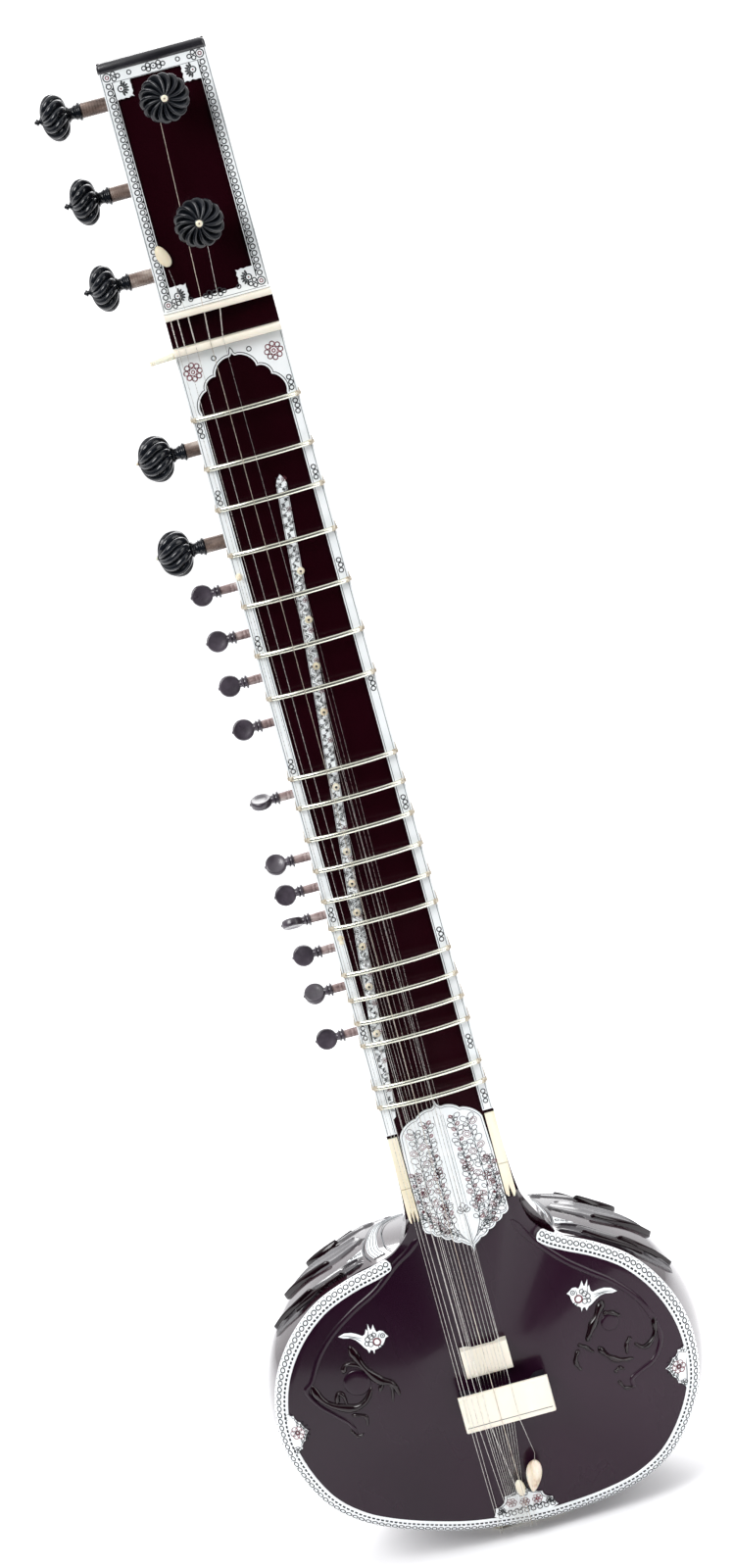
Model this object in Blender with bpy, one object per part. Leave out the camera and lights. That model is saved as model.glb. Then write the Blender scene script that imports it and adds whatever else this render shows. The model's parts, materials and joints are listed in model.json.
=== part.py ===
"""A full-size sitar: hollow neck, gourd body, lacquered soundboard, tied frets, pegs and strings.

Every place is given by three numbers: x across the neck (bass side negative), the station along
the neck (0 at the nut, growing towards the body) and the depth behind the neck's front plane.
The world origin is under the tail foot; +Z runs up the neck and the front faces -Y.
"""

import bpy
import bmesh
from math import cos, hypot, pi, radians, sin
from mathutils import Vector

# ---------------------------------------------------------------- driving dimensions (metres)
FIT_GAP = 0.0003            # clearance left between pieces that touch
SKIN = 0.0020               # thickness of the bone and celluloid inlays
PANEL = 0.0040              # thickness of the front panels
NUT_HEIGHT = 1.0440         # height of the nut above the tail foot
FACE_Y = -0.0785            # the neck's front plane, relative to the foot

HEAD_END = -0.2305          # station of the top of the head
HEAD_FOOT = -0.0312         # station where the head panel ends
NECK_END = 0.6680           # station where the hollow neck meets the heel
BOARD_TOP = 0.7400          # station where the soundboard starts
HALF_WIDTH = 0.0434         # half width of the neck at the nut
HALF_WIDTH_GROWTH = 0.0030  # widening per metre of station
SIDE_DEPTH = 0.0300         # the neck's sides are straight down to here, then round
BACK_DEPTH = 0.0600         # depth of the neck's back
WALL = 0.0080               # wall of the hollow neck
BACK_SEGMENTS = 8           # facets of the rounded back

BODY_LEAN = radians(7.0)    # the gourd leans to the bass side of the neck's axis
BODY_PIVOT = 0.7450         # station the lean turns about
BODY_CENTRE = 0.1500        # distance from the pivot to the middle of the soundboard
BOARD_FLAT = 0.34           # share of the soundboard, about its middle, that is flat
BOARD_CROWN = 1.3           # how late the soundboard's crown falls away outside the flat
BOARD_RINGS = (BOARD_FLAT, 0.55, 0.78)
BOARD_RIM_DROP = 0.0240     # how far the soundboard's edge falls back at the tail
RIM_WIDTH = 0.0095          # width of the bevel that carries the edge binding
RIM_FALL = 0.0070           # fall of that bevel
GOURD_DEPTH = 0.2300        # from the soundboard's edge to the back of the gourd
GOURD_WALL = 0.0050
GOURD_SHIFT = 0.0035        # how far the back of the gourd sits towards the treble side

NUT_TOP = -0.0125           # depth of the nut's top: in front of the neck's plane
BRIDGE_TOP = -0.0262
TARAF_BRIDGE_TOP = -0.0100
FRET_ARCH = 0.0085          # rise of a fret's middle above its ends
STRING_RADIUS = 0.0004
ANCHOR_HALF = 0.0009         # half thickness of the bars that hold the strings

# Stations of the tied frets. They are set by ear, so the spacing is not quite equal-tempered.
FRET_STATIONS = (
    0.0550, 0.0950, 0.1285, 0.1660, 0.2085, 0.2495, 0.2855, 0.3530, 0.3780, 0.4050,
    0.4315, 0.4575, 0.4810, 0.5210, 0.5430, 0.5630, 0.5825, 0.6195, 0.6365,
)
HEAD_PEG_STATIONS = (-0.1985, -0.1295, -0.0603)
HEAD_PEG_STANDS = (0.0060, 0.0010, 0.0040)    # how much further out each of them stands
HEAD_PEG_DEPTH = 0.0385
FRONT_PEG_PLACES = ((0.0018, -0.1930), (0.0025, -0.0947))
HEAD_PEG_SHAFT = 0.0060     # shaft radius of the large pegs
HEAD_PEG_REACH = 0.0700     # how far each kind of peg reaches into the neck
FRONT_PEG_REACH = 0.0250
CHIKARI_PEG_REACH = 0.0600
TARAF_PEG_REACH = 0.0340
KNOB_START = 0.0235         # height on a large peg where its knob starts
CHIKARI_PEG_STATIONS = (0.0793, 0.1565)
CHIKARI_PEG_STANDS = (-0.0035, 0.0015)
TARAF_PEG_STATIONS = (
    0.1945, 0.2337, 0.2713, 0.3087, 0.3700, 0.4233, 0.4497, 0.4740, 0.5024, 0.5360, 0.5755,
)
NECK_PEG_DEPTH = 0.0240
TARAF_SHAFT = 0.0036
HOLE_SEGMENTS = 14
PEG_SEGMENTS = 14
OUT_OF_BASS_SIDE = (0.0, -pi / 2, 0.0)
OUT_OF_FRONT = (pi / 2, 0.0, 0.0)
# How each sympathetic peg's flat head happens to be turned, in degrees: 90 faces the front.
TARAF_HEAD_TURNS = (85, 80, 85, 80, 18, 60, 85, -25, 85, 50, 80)
# How much further out each of them stands than the shallowest.
TARAF_STANDS = (
    0.0043, 0.0020, 0.0020, 0.0006, 0.0022, 0.0040, 0.0030, 0.0036, 0.0018, 0.0012, 0.0015,
)

# The grommets that lead the sympathetic strings into the neck lie on a slanting inlay.
GROMMET_FIRST = (0.0080, 0.1926)
GROMMET_LAST = (-0.0307, 0.5757)
STRIP_START = (0.0117, 0.1159)
STRIP_BEND = (-0.0047, 0.3064)
STRIP_TOP = 0.1140
STRIP_END = 0.6600
CHIKARI_POSTS = ((-0.0405, 0.1840, -0.0128), (-0.0384, 0.4910, -0.0168))

# Main strings from bass side to treble side: x at the nut, at the bridge and at the tail.
PLAYED_STRINGS = (
    (-0.0391, -0.0345, -0.0300),
    (-0.0335, -0.0298, -0.0284),
    (-0.0251, -0.0248, -0.0150),
    (-0.0133, -0.0150, -0.0134),
)
MELODY_STRING = (-0.0029, -0.0002)
CHIKARI_STRINGS = ((-0.0415, -0.0410), (-0.0386, -0.0388))
MELODY_TAIL = -0.0100
# Station and depth where the strings pass over the tail, turn round the rim and are held.
TAIL_CREST = (1.0210, 0.0170)
MAIN_TURN = (1.0352, 0.0312)
MAIN_ANCHOR = (1.0415, 0.0600)
TARAF_TURN = (1.0332, 0.0302)
TARAF_ANCHOR = (1.0385, 0.0590)
# The head-side guide: depth of its holes and where each of the five stands.
GUIDE_DEPTH = -0.0075
GUIDE_EXIT = -0.0265
GUIDE_HOLES = (-0.0391, -0.0335, -0.0251, -0.0118, 0.0010)

NUT_STATIONS = (-0.0030, 0.0030)
BRIDGE_X = (-0.0455, 0.0310)
BRIDGE_STATIONS = (0.8877, 0.9192)
TARAF_BRIDGE_X = (-0.0335, 0.0060)
TARAF_BRIDGE_STATIONS = (0.8545, 0.8790)
BEAD_TOP = (0.0025, 0.9650)
BEAD_END = (-0.0050, 0.9960)

# Half outline of the soundboard in the body's own frame: across, and down from the pivot.
BOARD_OUTLINE = (
    (0.0520, 0.0140), (0.0640, 0.0280), (0.0800, 0.0365), (0.1050, 0.0465), (0.1320, 0.0625),
    (0.1550, 0.0875), (0.1710, 0.1180), (0.1778, 0.1500), (0.1763, 0.1820), (0.1655, 0.2130),
    (0.1470, 0.2415), (0.1220, 0.2608), (0.0930, 0.2722), (0.0590, 0.2800), (0.0240, 0.2845),
)
GOURD_RINGS = (0.0, 0.10, 0.22, 0.36, 0.50, 0.63, 0.75, 0.86, 0.94)

# Turned profiles as (height, radius), from the neck's surface outwards.
MELON_PROFILE = (
    (0.0000, 0.0060), (0.0150, 0.0058), (0.0165, 0.0074), (0.0185, 0.0056), (0.0235, 0.0045),
    (0.0270, 0.0140), (0.0320, 0.0185), (0.0390, 0.0175), (0.0445, 0.0110), (0.0475, 0.0030),
    (0.0510, 0.0022), (0.0520, 0.0),
)
TARAF_PROFILE = (
    (0.0000, 0.0036), (0.0100, 0.0036), (0.0112, 0.0052), (0.0126, 0.0036), (0.0148, 0.0044),
    (0.0162, 0.0030), (0.0210, 0.0032), (0.0220, 0.0),
)


# ---------------------------------------------------------------- places and shapes
def at(x, station, depth):
    """World position of a place on the instrument."""
    return Vector((x, FACE_Y + depth, NUT_HEIGHT - station))


def half_width(station):
    return HALF_WIDTH + HALF_WIDTH_GROWTH * station


def neck_section(width, grow=0.0, top=PANEL + SKIN + 2 * FIT_GAP):
    """Points of the neck's outside from the bass edge round the back to the treble edge."""
    points = [(-width - grow, top)]
    for i in range(BACK_SEGMENTS + 1):
        angle = pi * i / BACK_SEGMENTS
        x = -(width + grow) * cos(angle)
        points.append((x, SIDE_DEPTH + (BACK_DEPTH - SIDE_DEPTH + grow) * sin(angle)))
    points.append((width + grow, top))
    return points


def body_place(across, down):
    """x and station of a place in the leaning body's own frame."""
    x = across * cos(BODY_LEAN) - down * sin(BODY_LEAN)
    return x, BODY_PIVOT + across * sin(BODY_LEAN) + down * cos(BODY_LEAN)


def edge_depth(station):
    """Depth of the soundboard's rim: level with the neck at the top, set back at the tail."""
    down = max(station - BOARD_TOP, 0.0)
    return SKIN + FIT_GAP + BOARD_RIM_DROP * (1.0 - 2.718 ** (-down / 0.09))


def inset(places, distance):
    """A closed outline moved inwards by a distance, with its points kept in pairs."""
    count = len(places)
    moved = []
    for i, (x, s) in enumerate(places):
        before, after = places[i - 1], places[(i + 1) % count]
        along = (after[0] - before[0], after[1] - before[1])
        length = hypot(*along)
        moved.append((x - along[1] / length * distance, s + along[0] / length * distance))
    return moved


def board_outline():
    """The soundboard's outline as x and station, starting at the treble neck corner."""
    right = [body_place(a, d) for a, d in BOARD_OUTLINE]
    left = [body_place(-a, d) for a, d in reversed(BOARD_OUTLINE)]
    corner = half_width(BOARD_TOP)
    return [(corner, BOARD_TOP)] + right + left + [(-corner, BOARD_TOP)]


def board_inner_outline():
    """The line where the soundboard's bevel begins."""
    inner = inset(board_outline(), RIM_WIDTH)
    corner = half_width(BOARD_TOP) - 0.006
    inner[0], inner[-1] = (corner, BOARD_TOP), (-corner, BOARD_TOP)
    return inner


def board_depth(share, station):
    """Depth of the crowned soundboard at a share of the way from its middle to its rim."""
    front = SKIN + FIT_GAP
    outside = max(share - BOARD_FLAT, 0.0) / (1.0 - BOARD_FLAT)
    return front + (edge_depth(station) - front) * outside ** BOARD_CROWN


def board_surface(x, station):
    """Depth of the faceted soundboard's front at any place inside its bevel."""
    cx, cs = body_place(0.0, BODY_CENTRE)
    dx, ds = x - cx, station - cs
    outline = board_inner_outline()
    for (x0, s0), (x1, s1) in zip(outline, outline[1:] + outline[:1]):
        ex, es = x1 - x0, s1 - s0
        cross = dx * es - ds * ex
        if abs(cross) < 1e-12:
            continue
        reach = ((x0 - cx) * es - (s0 - cs) * ex) / cross
        along = ((x0 - cx) * ds - (s0 - cs) * dx) / cross
        if reach > 0.0 and 0.0 <= along <= 1.0:
            share, rim = 1.0 / reach, s0 + es * along
            break
    if share <= BOARD_FLAT:
        return board_depth(0.0, rim)
    shares = BOARD_RINGS + (1.0,)
    for inner, outer in zip(shares, shares[1:]):
        if share <= outer:
            part = (share - inner) / (outer - inner)
            near = board_depth(inner, rim)
            return near + (board_depth(outer, rim) - near) * part
    return board_depth(1.0, rim)


def lobes(cusps, bulge, steps=3):
    """An outline that swings outwards between each cusp and the next."""
    points = []
    for (x0, s0), (x1, s1) in zip(cusps, cusps[1:]):
        across, along = x1 - x0, s1 - s0
        for i in range(steps):
            t = i / steps
            out = bulge * 4.0 * t * (1.0 - t)
            points.append((x0 + across * t + along * out, s0 + along * t - across * out))
    points.append(cusps[-1])
    return points


# ---------------------------------------------------------------- mesh tools
def material(name, colour, roughness, metallic=0.0):
    made = bpy.data.materials.get(name)
    if made is None:
        made = bpy.data.materials.new(name)
        made.use_nodes = True
        shader = made.node_tree.nodes["Principled BSDF"]
        shader.inputs["Base Color"].default_value = (*colour, 1.0)
        shader.inputs["Roughness"].default_value = roughness
        shader.inputs["Metallic"].default_value = metallic
    return made


def lacquer():
    return material("maroon_lacquer", (0.030, 0.006, 0.008), 0.22)


def ebony():
    return material("ebony", (0.012, 0.011, 0.013), 0.30)


def celluloid():
    return material("celluloid", (0.80, 0.81, 0.80), 0.35)


def bone():
    return material("bone", (0.82, 0.76, 0.60), 0.45)


def steel():
    return material("string_steel", (0.62, 0.60, 0.56), 0.30, 1.0)


def nickel():
    return material("fret_nickel", (0.72, 0.69, 0.58), 0.28, 1.0)


def finish(name, mesh, surface, origin=None, smooth=None):
    """Turn a bmesh into the named sub-part, with its origin where the part's own axis is."""
    bmesh.ops.recalc_face_normals(mesh, faces=mesh.faces)
    origin = origin or at(0.0, 0.0, 0.0)
    bmesh.ops.translate(mesh, verts=mesh.verts, vec=-origin)
    data = bpy.data.meshes.new(name)
    mesh.to_mesh(data)
    mesh.free()
    if smooth:
        data.shade_smooth()
        data.set_sharp_from_angle(angle=radians(smooth))
    part = bpy.data.objects.new(name, data)
    part.location = origin
    part.data.materials.append(surface)
    bpy.context.scene.collection.objects.link(part)
    return part


def loft(mesh, rings, closed=False, caps=True):
    """Skin a row of equal rings; closed joins the last ring to the first."""
    loops = [[mesh.verts.new(p) for p in ring] for ring in rings]
    pairs = list(zip(loops, loops[1:]))
    if closed:
        pairs.append((loops[-1], loops[0]))
    for lower, upper in pairs:
        count = len(lower)
        for i in range(count):
            j = (i + 1) % count
            mesh.faces.new((lower[i], lower[j], upper[j], upper[i]))
    if caps and not closed:
        mesh.faces.new(loops[0])
        mesh.faces.new(loops[-1])
    return loops


def slab(name, outline, front, back, surface, **options):
    """A flat plate: an outline of (x, station) between two depths."""
    mesh = bmesh.new()
    loft(mesh, [[at(x, s, d) for x, s in outline] for d in (front, back)])
    return finish(name, mesh, surface, **options)


def box_outline(x0, x1, top, end):
    return [(x0, top), (x1, top), (x1, end), (x0, end)]


def band_outline(x_bass, x_treble, top, end):
    """Four corners of a strip whose edges may follow the neck's taper."""
    return [(x_bass(top), top), (x_treble(top), top), (x_treble(end), end), (x_bass(end), end)]


def lathe(mesh, profile, segments):
    """A turned solid along local Z from a profile of (height, radius), pointed at both ends."""
    ends = [mesh.verts.new((0, 0, profile[0][0])), mesh.verts.new((0, 0, profile[-1][0]))]
    rings = []
    for height, radius in profile[1:-1]:
        ring = []
        for i in range(segments):
            angle = 2 * pi * i / segments
            ring.append(mesh.verts.new((radius * cos(angle), radius * sin(angle), height)))
        rings.append(ring)
    for lower, upper in zip(rings, rings[1:]):
        for i in range(segments):
            j = (i + 1) % segments
            mesh.faces.new((lower[i], lower[j], upper[j], upper[i]))
    for i in range(segments):
        j = (i + 1) % segments
        mesh.faces.new((ends[0], rings[0][j], rings[0][i]))
        mesh.faces.new((ends[1], rings[-1][i], rings[-1][j]))


def rod(start, end, radius, segments=12):
    """A round cutter or bar between two world places."""
    mesh = bmesh.new()
    along = (end - start).normalized()
    side = along.orthogonal().normalized()
    other = along.cross(side)
    rings = []
    for place in (start, end):
        ring = []
        for i in range(segments):
            angle = 2 * pi * (i + 0.5) / segments
            ring.append(place + side * radius * cos(angle) + other * radius * sin(angle))
        rings.append(ring)
    loft(mesh, rings)
    return mesh


def apply_boolean(part, mesh, operation):
    """Cut or join a helper shape, which stays in the file hidden from the build."""
    helper = finish(part.name + "_helper", mesh, surface=part.data.materials[0])
    helper.hide_render = True
    helper.display_type = "WIRE"
    step = part.modifiers.new(operation.lower(), "BOOLEAN")
    step.operation = operation
    step.solver = "EXACT"
    step.object = helper
    return helper


# ---------------------------------------------------------------- neck and head
def hole_radius(shaft_radius, segments):
    """Radius of a faceted hole that a turning shaft clears."""
    return (shaft_radius + FIT_GAP) / cos(pi / segments)


def neck_trough():
    """The hollow neck and head: one long channel, closed at the top of the head."""
    mesh = bmesh.new()
    loft(mesh, [
        [at(x, s, d) for x, d in neck_section(half_width(s))] for s in (HEAD_END, NECK_END)
    ])
    part = finish("neck_trough", mesh, lacquer(), smooth=30)
    hollow = bmesh.new()
    end_wall = 0.012
    loft(hollow, [
        [at(x, s, d) for x, d in neck_section(half_width(s), grow=-WALL, top=-0.010)]
        for s in (HEAD_END + end_wall, NECK_END + end_wall)
    ])
    apply_boolean(part, hollow, "DIFFERENCE")
    cutters = bmesh.new()
    places = [(s, HEAD_PEG_DEPTH, HEAD_PEG_SHAFT) for s in HEAD_PEG_STATIONS]
    places += [(s, NECK_PEG_DEPTH, HEAD_PEG_SHAFT) for s in CHIKARI_PEG_STATIONS]
    places += [(s, NECK_PEG_DEPTH, TARAF_SHAFT) for s in TARAF_PEG_STATIONS]
    for station, depth, shaft in places:
        outside = at(-half_width(station) - 0.005, station, depth)
        inside = at(-half_width(station) / 2, station, depth)
        hole = rod(outside, inside, hole_radius(shaft, HOLE_SEGMENTS), HOLE_SEGMENTS)
        data = bpy.data.meshes.new("hole")
        hole.to_mesh(data)
        hole.free()
        cutters.from_mesh(data)
    apply_boolean(part, cutters, "DIFFERENCE")
    return part


def head_panel():
    """The lacquered front of the head, with a bore for each front peg."""
    outline = band_outline(lambda s: -half_width(s), half_width, HEAD_END, HEAD_FOOT)
    part = slab("head_panel", outline, SKIN + FIT_GAP, SKIN + FIT_GAP + PANEL, lacquer())
    for x, station in FRONT_PEG_PLACES:
        radius = hole_radius(HEAD_PEG_SHAFT, HOLE_SEGMENTS)
        hole = rod(at(x, station, -0.02), at(x, station, 0.02), radius, HOLE_SEGMENTS)
        apply_boolean(part, hole, "DIFFERENCE")
    return part


def neck_panel():
    """The fingerboard panel under the frets."""
    end = BOARD_TOP - FIT_GAP
    outline = band_outline(lambda s: -half_width(s), half_width, HEAD_FOOT + FIT_GAP, end)
    return slab("neck_panel", outline, SKIN + FIT_GAP, SKIN + FIT_GAP + PANEL, lacquer())


def head_border():
    """The engraved frame round the head panel, with a square in each corner."""
    top, end = -0.2240, -0.0320
    side, strip = 0.0090, 0.0110
    corner = 0.0135
    outline = band_outline(lambda s: -half_width(s), half_width, top, end)
    part = slab("head_border", outline, 0.0, SKIN, celluloid())
    inner = half_width(top) - side
    long_window = box_outline(-inner + corner, inner - corner, top + strip, end - strip)
    wide_window = box_outline(-inner, inner, top + strip + corner, end - strip - corner)
    for window in (long_window, wide_window):
        mesh = bmesh.new()
        loft(mesh, [[at(x, s, d) for x, s in window] for d in (-0.005, 0.005)])
        apply_boolean(part, mesh, "DIFFERENCE")
    apply_boolean(part, string_eyelet(), "UNION")
    return part


def neck_binding():
    """Both edge bindings and the scalloped arch as one sheet, with the drone strings' posts."""
    top, end = NUT_STATIONS[1] + FIT_GAP, 0.6620
    strip = 0.0085
    cusps = [(0.0, 0.0093), (0.0172, 0.0262), (0.0268, 0.0350), (0.0350, 0.0520)]
    right = lobes(cusps, bulge=0.16)
    right.append((half_width(end) - strip, end))
    inner = right + [(-x, s) for x, s in reversed(right[1:])]
    bass, treble = -half_width(end), half_width(end)
    outer = [(treble, end), (half_width(top), top), (-half_width(top), top), (bass, end)]
    path = inner[:len(right)] + outer + inner[len(right):]
    part = slab("neck_binding", path, 0.0, SKIN, celluloid())
    for x, station, post_top in CHIKARI_POSTS:
        post = rod(at(x, station, post_top), at(x, station, SKIN / 2), 0.0014, 8)
        apply_boolean(part, post, "UNION")
    return part


def cartouche():
    """The engraved plate over the joint of neck and soundboard."""
    upper = lobes([(0.0, 0.6436), (0.0190, 0.6550), (0.0350, 0.6670)], bulge=0.18)
    lower = lobes(
        [(0.0362, 0.7440), (0.0330, 0.7510), (0.0240, 0.7575), (0.0140, 0.7625), (0.0, 0.7760)],
        bulge=0.14,
    )
    half = upper + lower
    outline = half + [(-x, s) for x, s in reversed(half[1:-1])]
    return slab("cartouche", outline, 0.0, SKIN, celluloid())


def heel_strip(name, side):
    """A bone cover on the edge of the heel, ending in fingers."""
    top, end = 0.6650, 0.7395
    inner, outer = 0.0370, half_width(end)
    middle = (inner + outer) / 2
    outline = [
        (side * inner, top), (side * half_width(top), top), (side * outer, end),
        (side * (middle + 0.0008), end - 0.012), (side * (inner + 0.0025), end),
        (side * (inner + 0.0004), end - 0.004),
    ]
    return slab(name, outline, -0.0004, SKIN, bone())


def nut():
    """The tall bone bar at the head end of the frets."""
    edge = half_width(0.0)
    return slab("nut", box_outline(-edge, edge, *NUT_STATIONS), NUT_TOP, SKIN, bone())


def string_guide():
    """The bone bar below the head, with a hole for each string that runs over the frets."""
    top, end = -0.0303, -0.0255
    outline = band_outline(lambda s: -half_width(s), half_width, top, end)
    part = slab("string_guide", outline, -0.0115, SKIN, bone())
    for place in GUIDE_HOLES:
        hole = rod(at(place, top - 0.01, GUIDE_DEPTH), at(place, end + 0.01, GUIDE_DEPTH), 0.0011, 6)
        apply_boolean(part, hole, "DIFFERENCE")
    return part


def string_eyelet():
    """The oval bone eyelet where one string dives into the head, seated on the border."""
    mesh = bmesh.new()
    steps = 12
    rings = []
    for grow, depth in ((1.0, SKIN / 2), (1.0, -0.001), (0.6, -0.0028)):
        ring = []
        for i in range(steps):
            angle = 2 * pi * i / steps
            across, along = 0.0036 * grow * cos(angle), 0.0082 * grow * sin(angle)
            ring.append(at(-0.0300 + across + 0.25 * along, -0.0750 + along, depth))
        rings.append(ring)
    loft(mesh, rings)
    return mesh


def strip_line(station):
    """Middle of the slanting inlay, which bends a little below the first grommets."""
    (x0, s0), (x1, s1) = (STRIP_START, STRIP_BEND) if station < STRIP_BEND[1] else (STRIP_BEND, GROMMET_LAST)
    return x0 + (x1 - x0) * (station - s0) / (s1 - s0)


def grommet_places():
    """The grommets stand beside their pegs."""
    (_, first), (_, last) = GROMMET_FIRST, GROMMET_LAST
    places = []
    for station in TARAF_PEG_STATIONS:
        share = (station - TARAF_PEG_STATIONS[0])
        share /= TARAF_PEG_STATIONS[-1] - TARAF_PEG_STATIONS[0]
        s = first + (last - first) * share
        x = GROMMET_FIRST[0] + (GROMMET_LAST[0] - GROMMET_FIRST[0]) * share
        places.append((x, s))
    return places


def grommet_strip():
    """The slanting inlay with the raised grommets of the sympathetic strings."""
    half, thin = 0.0044, 0.0012
    front = SKIN - thin
    outline = [
        (strip_line(STRIP_TOP), STRIP_TOP),
        (strip_line(STRIP_TOP) + half, STRIP_TOP + 0.009),
        (STRIP_BEND[0] + half, STRIP_BEND[1]),
        (strip_line(STRIP_END) + half, STRIP_END),
        (-half_width(STRIP_END) + 0.0092, STRIP_END - 0.002),
        (-half_width(0.5850) + 0.0092, 0.5850),
        (STRIP_BEND[0] - half, STRIP_BEND[1]),
        (strip_line(STRIP_TOP) - half, STRIP_TOP + 0.009),
    ]
    part = slab("grommet_strip", outline, front, SKIN, celluloid())
    for x, station in grommet_places():
        post = rod(at(x, station, -0.0012), at(x, station, SKIN - 0.0005), 0.0024, 8)
        apply_boolean(part, post, "UNION")
    return part


# ---------------------------------------------------------------- body
def soundboard():
    """The crowned soundboard, with a bevelled rim for the binding."""
    outer = board_outline()
    inner = board_inner_outline()
    centre = body_place(0.0, BODY_CENTRE)
    mesh = bmesh.new()

    def ring(places, share, lift):
        points = []
        for x, s in places:
            px = centre[0] + (x - centre[0]) * share
            ps = centre[1] + (s - centre[1]) * share
            points.append(at(px, ps, board_depth(share, s) + lift))
        return points

    rim = [at(x, s, bevel_depth(s)) for x, s in outer]
    skirt = [at(x, s, bevel_depth(s) + PANEL) for x, s in outer]
    front = [ring(inner, share, 0.0) for share in BOARD_RINGS]
    back = [ring(inner, share, PANEL) for share in reversed(BOARD_RINGS)]
    rings = front + [[at(x, s, edge_depth(s)) for x, s in inner], rim, skirt]
    rings += [[at(x, s, edge_depth(s) + PANEL) for x, s in inner]] + back
    loft(mesh, rings)
    return finish("soundboard", mesh, lacquer(), smooth=25)


def bevel_depth(station):
    """Depth of the soundboard's outermost edge; the bevel fades out at the neck."""
    fade = min(max((station - BOARD_TOP) / 0.035, 0.0), 1.0)
    return edge_depth(station) + RIM_FALL * fade


def edge_binding():
    """The engraved band that wraps the soundboard's bevel, open at the neck."""
    outer = board_outline()
    first, last = 3, len(outer) - 3
    inner = board_inner_outline()
    lift, thick = FIT_GAP * 2, 0.0014
    mesh = bmesh.new()
    rings = []
    for i in range(first, last):
        (ox, os), (ix, ins) = outer[i], inner[i]
        out = Vector((ox - ix, 0.0, -(os - ins))).normalized()
        front = Vector((0.0, -1.0, 0.0))
        slope = (front * RIM_WIDTH + out * RIM_FALL).normalized()
        low = at(ox, os, bevel_depth(os)) + slope * lift
        high = at(ix, ins, edge_depth(ins)) + slope * lift
        rings.append([high, low, low + slope * thick, high + slope * thick])
    loft(mesh, rings)
    return finish("edge_binding", mesh, celluloid(), smooth=30)


def gourd_scale(t):
    """Size of the gourd's ring at a share of its depth: swells a little, then closes."""
    return (1.0 - t ** 2.5) ** 0.45 * (1.0 + 0.5 * t * (1.0 - t) ** 2)


def gourd_ring(t, grow):
    """One ring of the gourd as world places, moved outwards by grow."""
    top_down, steps = 0.031, 3
    right = [p for p in BOARD_OUTLINE if p[1] >= 0.036]
    bridge_x = right[0][0]
    over = [(-bridge_x + 2 * bridge_x * i / (steps + 1), top_down) for i in range(1, steps + 1)]
    half = over + right + [(-a, d) for a, d in reversed(right)]
    points = []
    for across, down in half:
        radius = hypot(across, down - BODY_CENTRE)
        size = max(gourd_scale(t) * radius + grow, 0.004) / radius
        shift = GOURD_SHIFT * min(t / 0.3, 1.0)
        x, s = body_place(across * size + shift, BODY_CENTRE + (down - BODY_CENTRE) * size)
        _, rim_station = body_place(across, down)
        rim = bevel_depth(rim_station) + PANEL + FIT_GAP
        deepest = rim_back() + GOURD_DEPTH
        points.append(at(x, s, rim + (deepest - rim) * t))
    return points


def rim_back():
    return SKIN + FIT_GAP + BOARD_RIM_DROP + PANEL


def gourd_solid(mesh, grow):
    rings = [gourd_ring(t, grow) for t in GOURD_RINGS]
    deepest = rim_back() + GOURD_DEPTH + grow
    loops = loft(mesh, rings, caps=False)
    pole = mesh.verts.new(at(*body_place(GOURD_SHIFT, BODY_CENTRE), deepest))
    last = loops[-1]
    for i, corner in enumerate(last):
        mesh.faces.new((corner, last[(i + 1) % len(last)], pole))
    return loops[0]


def gourd_shell():
    """The hollow gourd, open at the front where the soundboard closes it."""
    mesh = bmesh.new()
    outside = gourd_solid(mesh, 0.0)
    inside = gourd_solid(mesh, -GOURD_WALL)
    count = len(outside)
    for i in range(count):
        j = (i + 1) % count
        mesh.faces.new((outside[i], outside[j], inside[j], inside[i]))
    return finish("gourd_shell", mesh, lacquer(), smooth=35)


def gourd_cutter():
    """The gourd's outside as a solid, reaching forward past the soundboard."""
    mesh = bmesh.new()
    rim = gourd_solid(mesh, FIT_GAP * 2)
    forward = [mesh.verts.new(v.co + Vector((0.0, -0.040, 0.0))) for v in rim]
    for i in range(len(rim)):
        j = (i + 1) % len(rim)
        mesh.faces.new((forward[i], forward[j], rim[j], rim[i]))
    mesh.faces.new(forward)
    return mesh


def neck_heel():
    """The block that carries the neck into the gourd, seated on the gourd's shoulder."""
    start = NECK_END + FIT_GAP
    front = PANEL + SKIN + 2 * FIT_GAP
    stations = (
        (start, half_width(start), front, 1.00),
        (0.7150, 0.0462, front, 1.06),
        (BOARD_TOP - 0.0010, 0.0490, front, 1.20),
        (BOARD_TOP + 0.0010, 0.0494, 0.0150, 1.22),
        (0.7620, 0.0570, 0.0210, 1.42),
        (0.8000, 0.0740, 0.0320, 1.80),
    )
    mesh = bmesh.new()
    rings = []
    for station, width, top, deep in stations:
        ring = []
        for x, depth in neck_section(width, top=top):
            ring.append(at(x, station, top if depth == top else depth * deep))
        rings.append(ring)
    loft(mesh, rings)
    part = finish("neck_heel", mesh, lacquer(), smooth=35)
    apply_boolean(part, gourd_cutter(), "DIFFERENCE")
    return part


def tailpiece():
    """The saddle block under the tail that holds the strings and stands on the ground."""
    block = box_outline(-0.0460, 0.0200, 1.0200, NUT_HEIGHT)
    part = slab("tailpiece", block, 0.0620, 0.0950, bone())
    apply_boolean(part, gourd_cutter(), "DIFFERENCE")
    return part


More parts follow.
